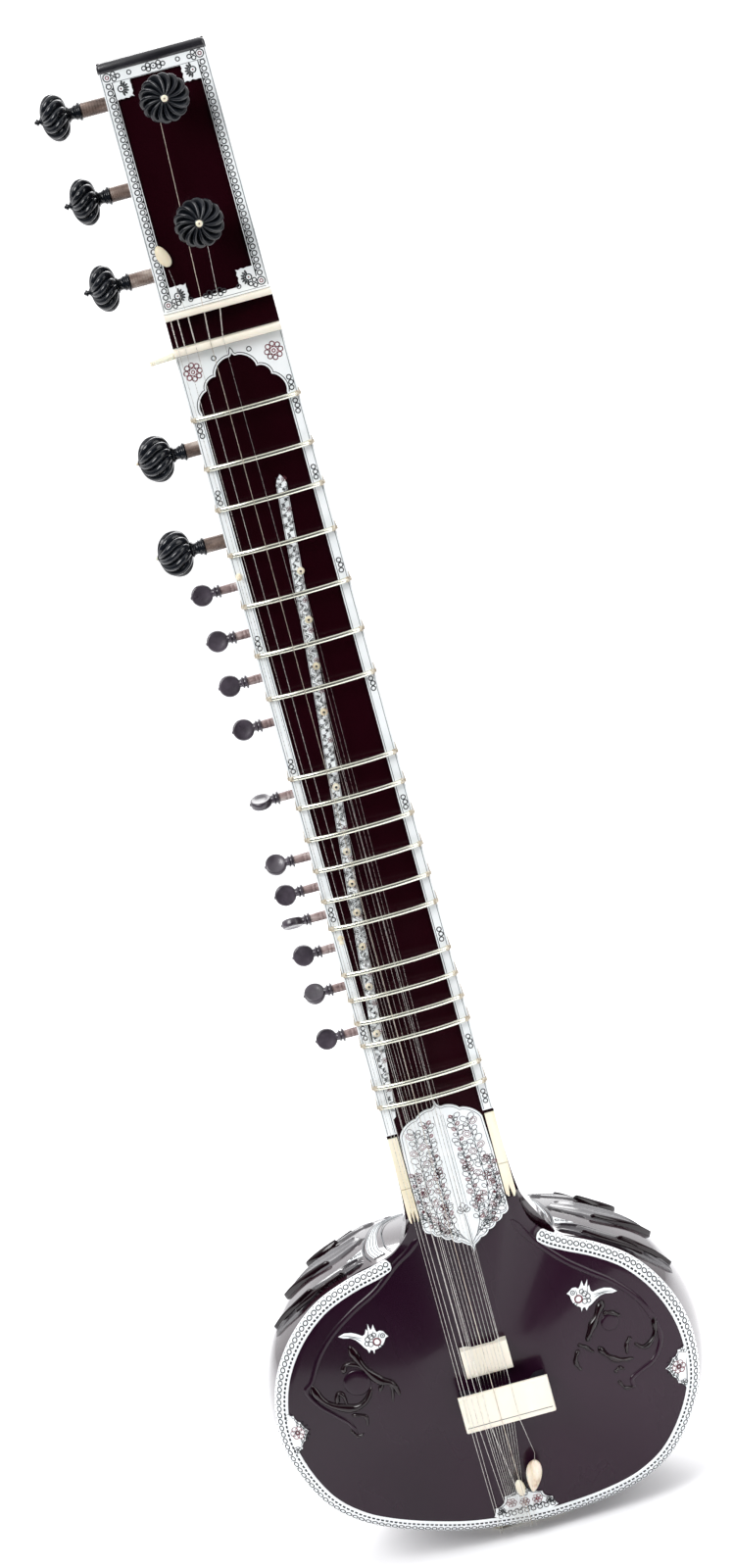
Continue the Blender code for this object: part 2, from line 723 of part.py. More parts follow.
def tail_plate():
    """The engraved, lobed plate under the strings, bent to the soundboard's tail."""
    lower = 1.0175
    crown = lobes(
        [(0.0110, lower - 0.0010), (0.0010, 1.0000), (-0.0136, 0.9846), (-0.0295, 0.9950),
         (-0.0395, lower - 0.0030)],
        bulge=0.10, steps=2,
    )
    thick, lift = 0.0012, 2 * FIT_GAP
    mesh = bmesh.new()
    sections = []
    for x, top in crown:
        middle = (top + lower) / 2
        front = [at(x, s, board_surface(x, s) - lift - thick) for s in (top, middle, lower)]
        back = [at(x, s, board_surface(x, s) - lift) for s in (lower, middle, top)]
        sections.append(front + back)
    loft(mesh, sections)
    return finish("tail_plate", mesh, celluloid())


def main_bridge_plate():
    """The wide bone bridge that the main strings cross."""
    outline = box_outline(*BRIDGE_X, *BRIDGE_STATIONS)
    return slab("main_bridge_plate", outline, BRIDGE_TOP, BRIDGE_TOP + 0.0045, bone())


def arch_block(name, x_range, stations, top, opening, surface):
    """A bridge body: a block with one wide opening, which leaves a foot at each end."""
    outline = box_outline(*x_range, *stations)
    mesh = bmesh.new()
    feet = [at(x, s, board_surface(x, s) - FIT_GAP) for x, s in outline]
    loft(mesh, [[at(x, s, top) for x, s in outline], feet])
    part = finish(name, mesh, surface)
    x0, x1, roof = opening
    cutter = bmesh.new()
    window = box_outline(x0, x1, stations[0] - 0.01, stations[1] + 0.01)
    loft(cutter, [[at(x, s, d) for x, s in window] for d in (roof, 0.02)])
    apply_boolean(part, cutter, "DIFFERENCE")
    return part


def main_bridge_feet():
    """The ebony body of the main bridge."""
    top = BRIDGE_TOP + 0.0045 + FIT_GAP
    opening = (-0.0345, 0.0200, -0.0140)
    return arch_block("main_bridge_feet", (-0.0435, 0.0290), (0.8912, 0.9152), top, opening, ebony())


def taraf_bridge():
    """The small bridge of the sympathetic strings."""
    x0, x1 = TARAF_BRIDGE_X
    opening = (x0 + 0.007, x1 - 0.007, -0.0030)
    return arch_block("taraf_bridge", TARAF_BRIDGE_X, TARAF_BRIDGE_STATIONS, TARAF_BRIDGE_TOP,
                      opening, bone())


# ---------------------------------------------------------------- strings
def string_ring(path, i):
    """The square section of a string at one point of its path."""
    along = (path[min(i + 1, len(path) - 1)] - path[max(i - 1, 0)]).normalized()
    side = Vector((1.0, 0.0, 0.0))
    side = (side - along * side.dot(along)).normalized() * STRING_RADIUS
    other = along.cross(side)
    place = path[i]
    return [place - side - other, place + side - other, place + side + other, place - side + other]


def gather(name, anchor, x_range, paths):
    """A set of strings that grow out of the one bar which holds them at the tail."""
    station, depth = anchor
    half = ANCHOR_HALF
    paths = sorted(paths, key=lambda path: path[-1].x)
    edges = [x_range[0]]
    for path in paths:
        edges += [path[-1].x - STRING_RADIUS, path[-1].x + STRING_RADIUS]
    edges.append(x_range[1])
    mesh = bmesh.new()
    corners = ((-half, -half), (half, -half), (half, half), (-half, half))
    bar = []
    for x in edges:
        bar.append([mesh.verts.new(at(x, station + ds, depth + dd)) for ds, dd in corners])
    for k, (low, high) in enumerate(zip(bar, bar[1:])):
        for i in range(len(corners)):
            j = (i + 1) % len(corners)
            if i > 0 or k % 2 == 0:
                mesh.faces.new((low[i], low[j], high[j], high[i]))
    mesh.faces.new(bar[0])
    mesh.faces.new(bar[-1])
    for k, path in enumerate(paths):
        low, high = bar[2 * k + 1], bar[2 * k + 2]
        root = [low[0], high[0], high[1], low[1]]
        for i in range(len(path) - 2, -1, -1):
            ring = [mesh.verts.new(corner) for corner in string_ring(path, i)]
            for a in range(len(ring)):
                b = (a + 1) % len(ring)
                mesh.faces.new((root[a], root[b], ring[b], ring[a]))
            root = ring
        mesh.faces.new(root)
    return finish(name, mesh, steel())


def over_bridge(x, stations, depth):
    """Where a string meets and leaves the flat top of a bridge."""
    return [at(x, station, depth) for station in stations]


def main_strings():
    """The five played strings and the two drone strings, tied off at the tail."""
    crest, fall = TAIL_CREST
    on_bridge = BRIDGE_TOP - STRING_RADIUS - FIT_GAP
    over_nut = NUT_TOP - STRING_RADIUS - FIT_GAP
    head_ends = (
        [(GUIDE_HOLES[0], GUIDE_EXIT, GUIDE_DEPTH)],
        [(GUIDE_HOLES[1], GUIDE_EXIT, GUIDE_DEPTH)],
        [(GUIDE_HOLES[2], GUIDE_EXIT, GUIDE_DEPTH), (-0.0300, -0.0640, -0.0040)],
        [(GUIDE_HOLES[3], GUIDE_EXIT, GUIDE_DEPTH), (-0.0056, -0.1890, -0.0080)],
    )
    paths = []
    for (nut_x, bridge_x, tail_x), head in zip(PLAYED_STRINGS, head_ends):
        path = [at(*place) for place in reversed(head)]
        path += over_bridge(nut_x, NUT_STATIONS, over_nut)
        path += over_bridge(bridge_x, BRIDGE_STATIONS, on_bridge)
        path += [at(tail_x, crest, fall), at(tail_x, *MAIN_TURN), at(tail_x, *MAIN_ANCHOR)]
        paths.append(path)
    nut_x, bridge_x = MELODY_STRING
    bead_top, bead_end = bead_axis()
    overshoot = (bead_end - bead_top).normalized() * 0.008
    paths.append([
        at(0.0050, -0.0865, -0.0080), at(GUIDE_HOLES[4], GUIDE_EXIT, GUIDE_DEPTH),
        *over_bridge(nut_x, NUT_STATIONS, over_nut),
        *over_bridge(bridge_x, BRIDGE_STATIONS, on_bridge),
        bead_top - overshoot, bead_end + overshoot, at(MELODY_TAIL, crest, fall),
        at(MELODY_TAIL, *MAIN_TURN), at(MELODY_TAIL, *MAIN_ANCHOR),
    ])
    for (bridge_x, tail_x), (post_x, post_s, post_top) in zip(CHIKARI_STRINGS, CHIKARI_POSTS):
        post_clear = post_top - STRING_RADIUS - FIT_GAP
        paths.append([
            at(post_x, post_s, post_clear), *over_bridge(bridge_x, BRIDGE_STATIONS, on_bridge),
            at(tail_x, crest, fall), at(tail_x, *MAIN_TURN), at(tail_x, *MAIN_ANCHOR),
        ])
    return gather("main_strings", MAIN_ANCHOR, (-0.0425, -0.0085), paths)


def taraf_strings():
    """The sympathetic strings, from the grommets over the small bridge to the tail."""
    crest, fall = TAIL_CREST
    top = TARAF_BRIDGE_TOP - STRING_RADIUS - FIT_GAP
    places = grommet_places()
    paths = []
    for k, (x, station) in enumerate(places):
        notch = 0.0003 - 0.0030 * k
        tail_x = -0.0165 - 0.0010 * k
        paths.append([
            at(x, station, -0.0020), *over_bridge(notch, TARAF_BRIDGE_STATIONS, top),
            at(tail_x, crest, fall), at(tail_x, *TARAF_TURN), at(tail_x, *TARAF_ANCHOR),
        ])
    return gather("taraf_strings", TARAF_ANCHOR, (-0.0275, -0.0155), paths)


def bead_axis():
    (x0, s0), (x1, s1) = BEAD_TOP, BEAD_END
    return at(x0, s0, -0.0026), at(x1, s1, 0.0098)


def tuning_bead():
    """The carved bone bead that slides on the melody string to fine-tune it."""
    top, end = bead_axis()
    length = (end - top).length
    profile = [(0.0, 0.0), (0.0, 0.0022), (0.12, 0.0050), (0.35, 0.0068), (0.62, 0.0058),
               (0.88, 0.0032), (1.0, 0.0022), (1.0, 0.0)]
    mesh = bmesh.new()
    lathe(mesh, [(share * length, radius) for share, radius in profile], 10)
    turn = Vector((0, 0, 1)).rotation_difference(end - top)
    bmesh.ops.rotate(mesh, verts=mesh.verts, matrix=turn.to_matrix())
    bmesh.ops.translate(mesh, verts=mesh.verts, vec=top)
    part = finish("tuning_bead", mesh, bone(), origin=top, smooth=60)
    past = (end - top).normalized() * 0.004
    bore = rod(top - past, end + past, STRING_RADIUS * 2 + FIT_GAP, 8)
    apply_boolean(part, bore, "DIFFERENCE")
    return part


# ---------------------------------------------------------------- frets
def fret(index, station):
    """A tied fret: an arched rod on the neck's edges and the thread round the back."""
    width = half_width(station)
    end_lift = 0.0015
    outer = width + 0.0006
    path = []
    for i in range(11):
        x = -width + 0.0010 + 2 * (width - 0.0010) * i / 10
        rise = FRET_ARCH * (1.0 - abs(x / width) ** 2.6)
        path.append((x, -end_lift - rise, 0.0012, 0.0019))
    back = [(x, d, 0.0004, 0.0014) for x, d in neck_section(width, grow=0.0008, top=0.0030)]
    corner = [(outer + 0.0006, -0.0010, 0.0006, 0.0016)]
    path = path + corner + list(reversed(back)) + [(-outer - 0.0006, -0.0010, 0.0006, 0.0016)]
    rings = []
    count = len(path)
    for i, (x, depth, thick, half) in enumerate(path):
        before, after = path[i - 1], path[(i + 1) % count]
        along = (after[0] - before[0], after[1] - before[1])
        length = hypot(*along)
        nx, nd = along[1] / length * thick, -along[0] / length * thick
        rings.append([
            at(x + nx, station - half, depth + nd), at(x - nx, station - half, depth - nd),
            at(x - nx, station + half, depth - nd), at(x + nx, station + half, depth + nd),
        ])
    mesh = bmesh.new()
    loft(mesh, rings, closed=True)
    return finish("fret_%02d" % index, mesh, nickel(), origin=at(0.0, station, 0.0))


# ---------------------------------------------------------------- pegs
def big_peg(name, place, turn, reach, knob_stretch=1.0, stand=0.0):
    """A main peg: tapered shaft, turned collar and melon-shaped knob, along local Z."""
    profile = [(-reach, 0.0), (-reach, 0.0042)]
    for height, radius in MELON_PROFILE:
        if height > KNOB_START:
            height = KNOB_START + (height - KNOB_START) * knob_stretch
        profile.append((height + stand if height > 0.0 else height, radius))
    mesh = bmesh.new()
    lathe(mesh, profile, PEG_SEGMENTS)
    return placed(name, mesh, place, turn)


def placed(name, mesh, place, turn):
    """A turned piece whose origin stays on its own axis, set into the neck."""
    bmesh.ops.translate(mesh, verts=mesh.verts, vec=place)
    part = finish(name, mesh, ebony(), origin=place, smooth=50)
    part.rotation_euler = turn
    return part


def taraf_peg(index, station, turned, stand):
    """A sympathetic peg: thin tapered shaft with a collar and a flat round head."""
    head_centre, head_radius, head_half = 0.0250 + stand, 0.0088, 0.0033
    tip_radius = 0.0026
    profile = [(-TARAF_PEG_REACH, 0.0), (-TARAF_PEG_REACH, tip_radius)]
    for height, radius in TARAF_PROFILE:
        profile.append((height + stand if height > 0.0 else height, radius))
    mesh = bmesh.new()
    lathe(mesh, profile, PEG_SEGMENTS - 4)
    place = at(-half_width(station), station, NECK_PEG_DEPTH)
    part = placed("taraf_peg_%02d" % index, mesh, place, OUT_OF_BASS_SIDE)
    angle = radians(turned)
    middle = place + Vector((-head_centre, 0.0, 0.0))
    across = Vector((0.0, -sin(angle), cos(angle))) * head_half
    head = rod(middle - across, middle + across, head_radius, PEG_SEGMENTS)
    apply_boolean(part, head, "UNION")
    return part


def pegs():
    names = ("upper", "middle", "lower")
    for name, station, stand in zip(names, HEAD_PEG_STATIONS, HEAD_PEG_STANDS):
        place = at(-half_width(station), station, HEAD_PEG_DEPTH)
        big_peg("head_peg_" + name, place, OUT_OF_BASS_SIDE, HEAD_PEG_REACH, stand=stand)
    for name, (x, station) in zip(("upper", "lower"), FRONT_PEG_PLACES):
        place = at(x, station, SKIN + FIT_GAP)
        big_peg("front_peg_" + name, place, OUT_OF_FRONT, FRONT_PEG_REACH)
    for name, station, stand in zip(("upper", "lower"), CHIKARI_PEG_STATIONS, CHIKARI_PEG_STANDS):
        place = at(-half_width(station), station, NECK_PEG_DEPTH)
        big_peg("chikari_peg_" + name, place, OUT_OF_BASS_SIDE, CHIKARI_PEG_REACH, knob_stretch=1.25,
                stand=stand)
    places = zip(TARAF_PEG_STATIONS, TARAF_HEAD_TURNS, TARAF_STANDS)
    for i, (station, turned, stand) in enumerate(places, 1):
        taraf_peg(i, station, turned, stand)


def build():
    for old in list(bpy.data.objects):
        bpy.data.objects.remove(old)
    neck_trough()
    head_panel()
    neck_panel()
    head_border()
    neck_binding()
    cartouche()
    heel_strip("heel_strip_bass", -1)
    heel_strip("heel_strip_treble", 1)
    nut()
    string_guide()
    grommet_strip()
    soundboard()
    edge_binding()
    gourd_shell()
    neck_heel()
    tailpiece()
    tail_plate()
    main_bridge_plate()
    main_bridge_feet()
    taraf_bridge()
    main_strings()
    taraf_strings()
    tuning_bead()
    for i, station in enumerate(FRET_STATIONS, 1):
        fret(i, station)
    pegs()


build()
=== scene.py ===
"""Looks of the sitar: fine surfaces, engraving, carving, strings, light and camera around the CAD frame."""
import json
from math import atan2, cos, exp, hypot, pi, radians, sin

import bmesh
import bpy
from mathutils import Matrix, Vector
from mathutils.bvhtree import BVHTree
from mathutils.geometry import tessellate_polygon


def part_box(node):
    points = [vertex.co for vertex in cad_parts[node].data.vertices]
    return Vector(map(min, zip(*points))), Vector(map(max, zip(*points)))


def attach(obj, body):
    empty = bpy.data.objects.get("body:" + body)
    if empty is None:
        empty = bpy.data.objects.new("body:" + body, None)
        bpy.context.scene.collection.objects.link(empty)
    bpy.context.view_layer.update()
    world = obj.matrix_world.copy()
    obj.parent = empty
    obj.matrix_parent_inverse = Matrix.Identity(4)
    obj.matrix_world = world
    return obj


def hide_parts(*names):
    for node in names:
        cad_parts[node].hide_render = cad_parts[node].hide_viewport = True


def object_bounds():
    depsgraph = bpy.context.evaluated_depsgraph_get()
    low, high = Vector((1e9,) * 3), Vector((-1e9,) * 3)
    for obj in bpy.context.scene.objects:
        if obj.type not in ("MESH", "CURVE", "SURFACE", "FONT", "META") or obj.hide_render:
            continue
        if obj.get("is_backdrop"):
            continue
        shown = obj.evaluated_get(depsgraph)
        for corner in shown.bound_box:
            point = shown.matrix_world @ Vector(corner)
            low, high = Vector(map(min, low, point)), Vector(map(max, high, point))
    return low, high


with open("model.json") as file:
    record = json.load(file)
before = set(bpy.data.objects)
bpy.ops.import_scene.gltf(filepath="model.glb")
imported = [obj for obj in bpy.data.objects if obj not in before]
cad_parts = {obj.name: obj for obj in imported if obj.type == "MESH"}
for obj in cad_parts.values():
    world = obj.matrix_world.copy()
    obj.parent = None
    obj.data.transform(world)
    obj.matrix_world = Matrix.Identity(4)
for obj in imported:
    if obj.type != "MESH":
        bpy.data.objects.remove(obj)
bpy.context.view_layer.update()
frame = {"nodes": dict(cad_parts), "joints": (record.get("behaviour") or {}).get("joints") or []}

# ---------------------------------------------------------------- places read from the frame
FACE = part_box("cartouche")[0].y
NUT = (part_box("nut")[0].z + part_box("nut")[1].z) / 2
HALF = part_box("nut")[1].x
JOINTS = {joint["name"]: joint for joint in frame["joints"]}
ROOT = "body"

# ---------------------------------------------------------------- sizes repeated from the CAD part
GROWTH = 0.0030         # widening of the neck's half per metre of station
SKIN = 0.0020           # thickness of the bone and celluloid inlays
PANEL = 0.0040          # thickness of the front panels
GAP = 0.0003            # clearance between pieces that touch

LEAN = radians(7.0)
PIVOT = 0.7450          # station the lean turns about
CENTRE = 0.1500         # distance from the pivot to the middle of the soundboard
BOARD_TOP = 0.7400      # station where the soundboard starts
RIM_DROP = 0.0240       # how far the soundboard's edge falls back at the tail
RIM_WIDTH = 0.0095      # width of the bevel that carries the edge band
RIM_FALL = 0.0070       # fall of that bevel
FLAT, CROWN = 0.34, 1.3     # flat share of the soundboard, and the power of its fall outside that
GOURD_DEPTH = 0.2300
GOURD_WALL = 0.0050
GOURD_SHIFT = 0.0035    # how far the back of the gourd sits towards the treble side
HALF_OUTLINE = (
    (0.0520, 0.0140), (0.0640, 0.0280), (0.0800, 0.0365), (0.1050, 0.0465), (0.1320, 0.0625),
    (0.1550, 0.0875), (0.1710, 0.1180), (0.1778, 0.1500), (0.1763, 0.1820), (0.1655, 0.2130),
    (0.1470, 0.2415), (0.1220, 0.2608), (0.0930, 0.2722), (0.0590, 0.2800), (0.0240, 0.2845),
)


def P(x, s, d):
    """A place given across the neck, down from the nut and behind the neck's face."""
    return Vector((x, FACE + d, NUT - s))


def station(node):
    low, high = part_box(node)
    return NUT - (low.z + high.z) / 2


def half_width(s):
    return HALF + GROWTH * s


def body_place(across, down):
    x = across * cos(LEAN) - down * sin(LEAN)
    return x, PIVOT + across * sin(LEAN) + down * cos(LEAN)


def mix(a, b, t):
    return a + (b - a) * t


def smoothstep(t):
    t = min(max(t, 0.0), 1.0)
    return t * t * (3 - 2 * t)


def spline(points, steps, closed=False):
    """A smooth curve through points of any dimension."""
    count = len(points)
    out = []
    for i in range(count if closed else count - 1):
        if closed:
            p = [points[(i + k) % count] for k in (-1, 0, 1, 2)]
        else:
            p = [points[min(max(i + k, 0), count - 1)] for k in (-1, 0, 1, 2)]
        for k in range(steps):
            t = k / steps
            out.append(tuple(
                0.5 * (2 * b + (c - a) * t + (2 * a - 5 * b + 4 * c - d) * t * t
                       + (3 * b - a - 3 * c + d) * t ** 3)
                for a, b, c, d in zip(*p)
            ))
    if not closed:
        out.append(tuple(points[-1]))
    return out


def resample(points, count, closed=False):
    """The same 2-D line with evenly spaced points."""
    line = list(points) + ([points[0]] if closed else [])
    lengths = [0.0]
    for a, b in zip(line, line[1:]):
        lengths.append(lengths[-1] + hypot(b[0] - a[0], b[1] - a[1]))
    total = lengths[-1]
    out, k = [], 0
    for i in range(count):
        want = total * i / (count if closed else count - 1)
        while k < len(line) - 2 and lengths[k + 1] < want:
            k += 1
        span = max(lengths[k + 1] - lengths[k], 1e-12)
        t = (want - lengths[k]) / span
        out.append(tuple(mix(a, b, t) for a, b in zip(line[k], line[k + 1])))
    return out


# ---------------------------------------------------------------- the body's surfaces
def board_outline():
    corner = half_width(BOARD_TOP)
    right = [body_place(a, d) for a, d in HALF_OUTLINE]
    left = [body_place(-a, d) for a, d in reversed(HALF_OUTLINE)]
    path = [(corner, BOARD_TOP)] + right + left + [(-corner, BOARD_TOP)]
    return resample(spline(path, 12), 361)


def inset(line, distance):
    out = []
    last = len(line) - 1
    for i, (x, s) in enumerate(line):
        a, b = line[max(i - 1, 0)], line[min(i + 1, last)]
        dx, ds = b[0] - a[0], b[1] - a[1]
        n = hypot(dx, ds)
        out.append((x - ds / n * distance, s + dx / n * distance))
    return out


OUTER = board_outline()
INNER = inset(OUTER, RIM_WIDTH)
CX, CS = body_place(0.0, CENTRE)
RIM_ANGLES = 1440
RIM_RADIUS = [0.0] * RIM_ANGLES


def fill_rim_radius():
    """Distance from the soundboard's middle to its bevel, for each direction."""
    line = INNER + [(0.0, BOARD_TOP), INNER[0]]
    for a, b in zip(line, line[1:]):
        for k in range(24):
            t = k / 24
            x, s = mix(a[0], b[0], t) - CX, mix(a[1], b[1], t) - CS
            index = int((atan2(s, x) / (2 * pi) % 1.0) * RIM_ANGLES) % RIM_ANGLES
            RIM_RADIUS[index] = max(RIM_RADIUS[index], hypot(x, s))
    for i in range(RIM_ANGLES):
        if RIM_RADIUS[i] == 0.0:
            RIM_RADIUS[i] = RIM_RADIUS[i - 1]


fill_rim_radius()


def edge_depth(s):
    return SKIN + GAP + RIM_DROP * (1.0 - exp(-max(s - BOARD_TOP, 0.0) / 0.09))


def bevel_depth(s):
    return edge_depth(s) + RIM_FALL * min(max((s - BOARD_TOP) / 0.035, 0.0), 1.0)


def crown(share, rim_station):
    front = SKIN + GAP
    outside = max(share - FLAT, 0.0) / (1.0 - FLAT)
    return front + (edge_depth(rim_station) - front) * outside ** CROWN


def board_depth(x, s):
    """Depth of the soundboard's front."""
    dx, ds = x - CX, s - CS
    r = hypot(dx, ds)
    if r < 1e-6:
        return SKIN + GAP
    place = (atan2(ds, dx) / (2 * pi) % 1.0) * RIM_ANGLES
    i = int(place)
    rim = mix(RIM_RADIUS[i % RIM_ANGLES], RIM_RADIUS[(i + 1) % RIM_ANGLES], place - i)
    share = r / rim
    return crown(min(share, 1.0), CS + ds / r * rim)


def on_board(x, s, lift=0.0):
    return P(x, s, board_depth(x, s) - lift)


def gourd_scale(t):
    return max(1.0 - t ** 2.5, 0.0) ** 0.45 * (1.0 + 0.5 * t * (1.0 - t) ** 2)


def gourd_outline():
    right = [p for p in HALF_OUTLINE if p[1] >= 0.036]
    bridge = right[0][0]
    over = [(-bridge + 2 * bridge * i / 4, 0.031) for i in range(1, 4)]
    half = over + right + [(-a, d) for a, d in reversed(right)]
    return resample(spline(half, 10, closed=True), 240, closed=True)


GOURD_LINE = gourd_outline()


def gourd_ring(t, grow=0.0):
    points = []
    deepest = SKIN + GAP + RIM_DROP + PANEL + GOURD_DEPTH
    for across, down in GOURD_LINE:
        radius = hypot(across, down - CENTRE)
        size = max(gourd_scale(t) * radius + grow, 0.002) / radius
        shift = GOURD_SHIFT * min(t / 0.3, 1.0)
        x, s = body_place(across * size + shift, CENTRE + (down - CENTRE) * size)
        _, rim_station = body_place(across, down)
        rim = bevel_depth(rim_station) + PANEL + GAP
        points.append(P(x, s, rim + (deepest - rim) * t))
    return points


# ---------------------------------------------------------------- materials
def new_material(name):
    made = bpy.data.materials.new(name)
    made.use_nodes = True
    tree = made.node_tree
    return made, tree, tree.nodes["Principled BSDF"]


def noise(tree, scale, detail=4.0, stretch=(1, 1, 1), rough=0.55):
    place = tree.nodes.new("ShaderNodeTexCoord")
    warp = tree.nodes.new("ShaderNodeMapping")
    warp.inputs["Scale"].default_value = stretch
    made = tree.nodes.new("ShaderNodeTexNoise")
    made.inputs["Scale"].default_value = scale
    made.inputs["Detail"].default_value = detail
    made.inputs["Roughness"].default_value = rough
    tree.links.new(place.outputs["Object"], warp.inputs["Vector"])
    tree.links.new(warp.outputs["Vector"], made.inputs["Vector"])
    return made.outputs["Fac"]


def ramp(tree, value, stops):
    made = tree.nodes.new("ShaderNodeValToRGB")
    for _ in range(len(stops) - 2):
        made.color_ramp.elements.new(0.5)
    for element, (place, colour) in zip(made.color_ramp.elements, stops):
        element.position = place
        element.color = (*colour, 1.0)
    tree.links.new(value, made.inputs["Fac"])
    return made.outputs["Color"]


def spread(tree, value, low, high):
    made = tree.nodes.new("ShaderNodeMapRange")
    made.inputs["From Min"].default_value = 0.3
    made.inputs["From Max"].default_value = 0.7
    made.inputs["To Min"].default_value = low
    made.inputs["To Max"].default_value = high
    tree.links.new(value, made.inputs["Value"])
    return made.outputs["Result"]


def bump(tree, shader, value, strength, distance):
    made = tree.nodes.new("ShaderNodeBump")
    made.inputs["Strength"].default_value = strength
    made.inputs["Distance"].default_value = distance
    tree.links.new(value, made.inputs["Height"])
    tree.links.new(made.outputs["Normal"], shader.inputs["Normal"])


def surface(name, stops, scale, stretch=(1, 1, 1), rough=(0.3, 0.4), grain=None, **values):
    """A surface with its own mottling, uneven gloss and fine relief."""
    made, tree, shader = new_material(name)
    tree.links.new(ramp(tree, noise(tree, scale, stretch=stretch), stops), shader.inputs["Base Color"])
    worn = spread(tree, noise(tree, scale * 2.3, stretch=stretch), *rough)
    tree.links.new(worn, shader.inputs["Roughness"])
    if grain:
        size, strength, distance = grain
        bump(tree, shader, noise(tree, size, 6.0, stretch), strength, distance)
    for key, value in values.items():
        shader.inputs[key.replace("_", " ")].default_value = value
    return made


LACQUER = surface(
    "maroon_lacquer_fine", [(0.3, (0.008, 0.0004, 0.0016)), (0.7, (0.015, 0.0006, 0.0034))], 9.0,
    stretch=(1, 1, 0.15), rough=(0.16, 0.26), grain=(60.0, 0.05, 0.0004),
    Coat_Weight=0.22, Coat_Roughness=0.06, Specular_IOR_Level=0.16,
)
BOARD_LACQUER = surface(
    "soundboard_lacquer_fine", [(0.3, (0.010, 0.0018, 0.0078)), (0.7, (0.018, 0.0034, 0.0135))], 7.0,
    stretch=(1, 1, 0.3), rough=(0.20, 0.32), grain=(120.0, 0.05, 0.0004),
    Coat_Weight=0.32, Coat_Roughness=0.10, Specular_IOR_Level=0.16,
)
RELIEF_LACQUER = surface(
    "relief_lacquer_fine", [(0.3, (0.004, 0.0006, 0.0018)), (0.7, (0.009, 0.0012, 0.0036))], 40.0,
    rough=(0.10, 0.18), Coat_Weight=0.35, Coat_Roughness=0.03, Specular_IOR_Level=0.25,
)
GOURD_LACQUER = surface(
    "gourd_lacquer_fine", [(0.3, (0.012, 0.002, 0.006)), (0.7, (0.022, 0.004, 0.010))], 6.0,
    rough=(0.14, 0.26), grain=(30.0, 0.06, 0.0010), Coat_Weight=1.0, Coat_Roughness=0.05, Coat_IOR=1.75,
)
# The leaves' grey base colour is painted sheen: it stands in for the grey reflection the shoulders catch at a
# grazing angle. The clear coat adds real reflection on top.
LEAF_LACQUER_PAINTED_SHEEN = surface(
    "leaf_lacquer_painted_sheen", [(0.3, (0.014, 0.010, 0.014)), (0.7, (0.034, 0.028, 0.036))], 30.0,
    rough=(0.22, 0.34), Coat_Weight=1.0, Coat_Roughness=0.14, Coat_IOR=1.65,
)
BRIDGE_BONE = surface(
    "bridge_bone_fine", [(0.3, (0.76, 0.71, 0.60)), (0.7, (0.83, 0.79, 0.69))], 30.0, stretch=(1, 1, 0.4),
    rough=(0.34, 0.46), grain=(400.0, 0.08, 0.0002), Subsurface_Weight=0.1, Subsurface_Scale=0.002,
)
SHEET = surface(
    "celluloid_fine", [(0.3, (0.79, 0.83, 0.84)), (0.7, (0.86, 0.88, 0.89))], 60.0,
    rough=(0.28, 0.42), grain=(400.0, 0.10, 0.0002), Coat_Weight=0.3, Coat_Roughness=0.15,
)
BONE = surface(
    "bone_fine", [(0.25, (0.66, 0.56, 0.37)), (0.5, (0.80, 0.74, 0.58)), (0.8, (0.86, 0.83, 0.72))],
    55.0, stretch=(1, 1, 0.18), rough=(0.34, 0.50), grain=(500.0, 0.15, 0.0002),
    Subsurface_Weight=0.12, Subsurface_Scale=0.002,
)
EBONY = surface(
    "ebony_fine", [(0.3, (0.006, 0.006, 0.008)), (0.7, (0.020, 0.019, 0.024))], 40.0,
    stretch=(1, 1, 0.4), rough=(0.26, 0.42), grain=(350.0, 0.2, 0.0002),
    Coat_Weight=0.35, Coat_Roughness=0.2,
)
SHAFT = surface(
    "peg_shaft_fine", [(0.3, (0.07, 0.045, 0.035)), (0.52, (0.24, 0.17, 0.14)), (0.74, (0.62, 0.54, 0.48))],
    150.0, stretch=(0.3, 1, 1), rough=(0.4, 0.6), grain=(300.0, 0.3, 0.0003),
)
INK = surface(
    "engraving_ink_fine", [(0.3, (0.003, 0.004, 0.006)), (0.7, (0.014, 0.016, 0.022))], 300.0,
    rough=(0.45, 0.7),
)
LINE_INK = surface(
    "engraving_line_fine", [(0.3, (0.04, 0.05, 0.06)), (0.7, (0.13, 0.15, 0.17))], 250.0,
    rough=(0.45, 0.7),
)
ROSE_INK = surface(
    "engraving_rose_fine", [(0.3, (0.07, 0.012, 0.018)), (0.7, (0.24, 0.055, 0.075))], 200.0,
    rough=(0.45, 0.7),
)
STEEL = surface(
    "string_steel_fine", [(0.3, (0.50, 0.49, 0.46)), (0.7, (0.78, 0.76, 0.72))], 300.0,
    rough=(0.22, 0.36), grain=(900.0, 0.2, 0.0001), Metallic=1.0,
)
BRONZE = surface(
    "string_bronze_fine", [(0.3, (0.42, 0.37, 0.30)), (0.7, (0.66, 0.60, 0.52))], 300.0,
    rough=(0.25, 0.40), grain=(900.0, 0.3, 0.0001), Metallic=1.0,
)
NICKEL = surface(
    "fret_nickel_fine", [(0.3, (0.72, 0.72, 0.61)), (0.7, (0.78, 0.78, 0.67))], 8.0,
    rough=(0.20, 0.26), Metallic=0.9,
)
THREAD = surface(
    "fret_thread_fine", [(0.30, (0.22, 0.16, 0.10)), (0.5, (0.52, 0.46, 0.36)), (0.7, (0.76, 0.72, 0.62))],
    500.0, rough=(0.6, 0.85), grain=(1200.0, 0.6, 0.0002),
)
PEG_BLACK = surface(
    "peg_black_fine", [(0.3, (0.003, 0.004, 0.006)), (0.7, (0.010, 0.012, 0.017))], 30.0,
    rough=(0.20, 0.30), Coat_Weight=0.42, Coat_Roughness=0.06, Specular_IOR_Level=0.22,
)
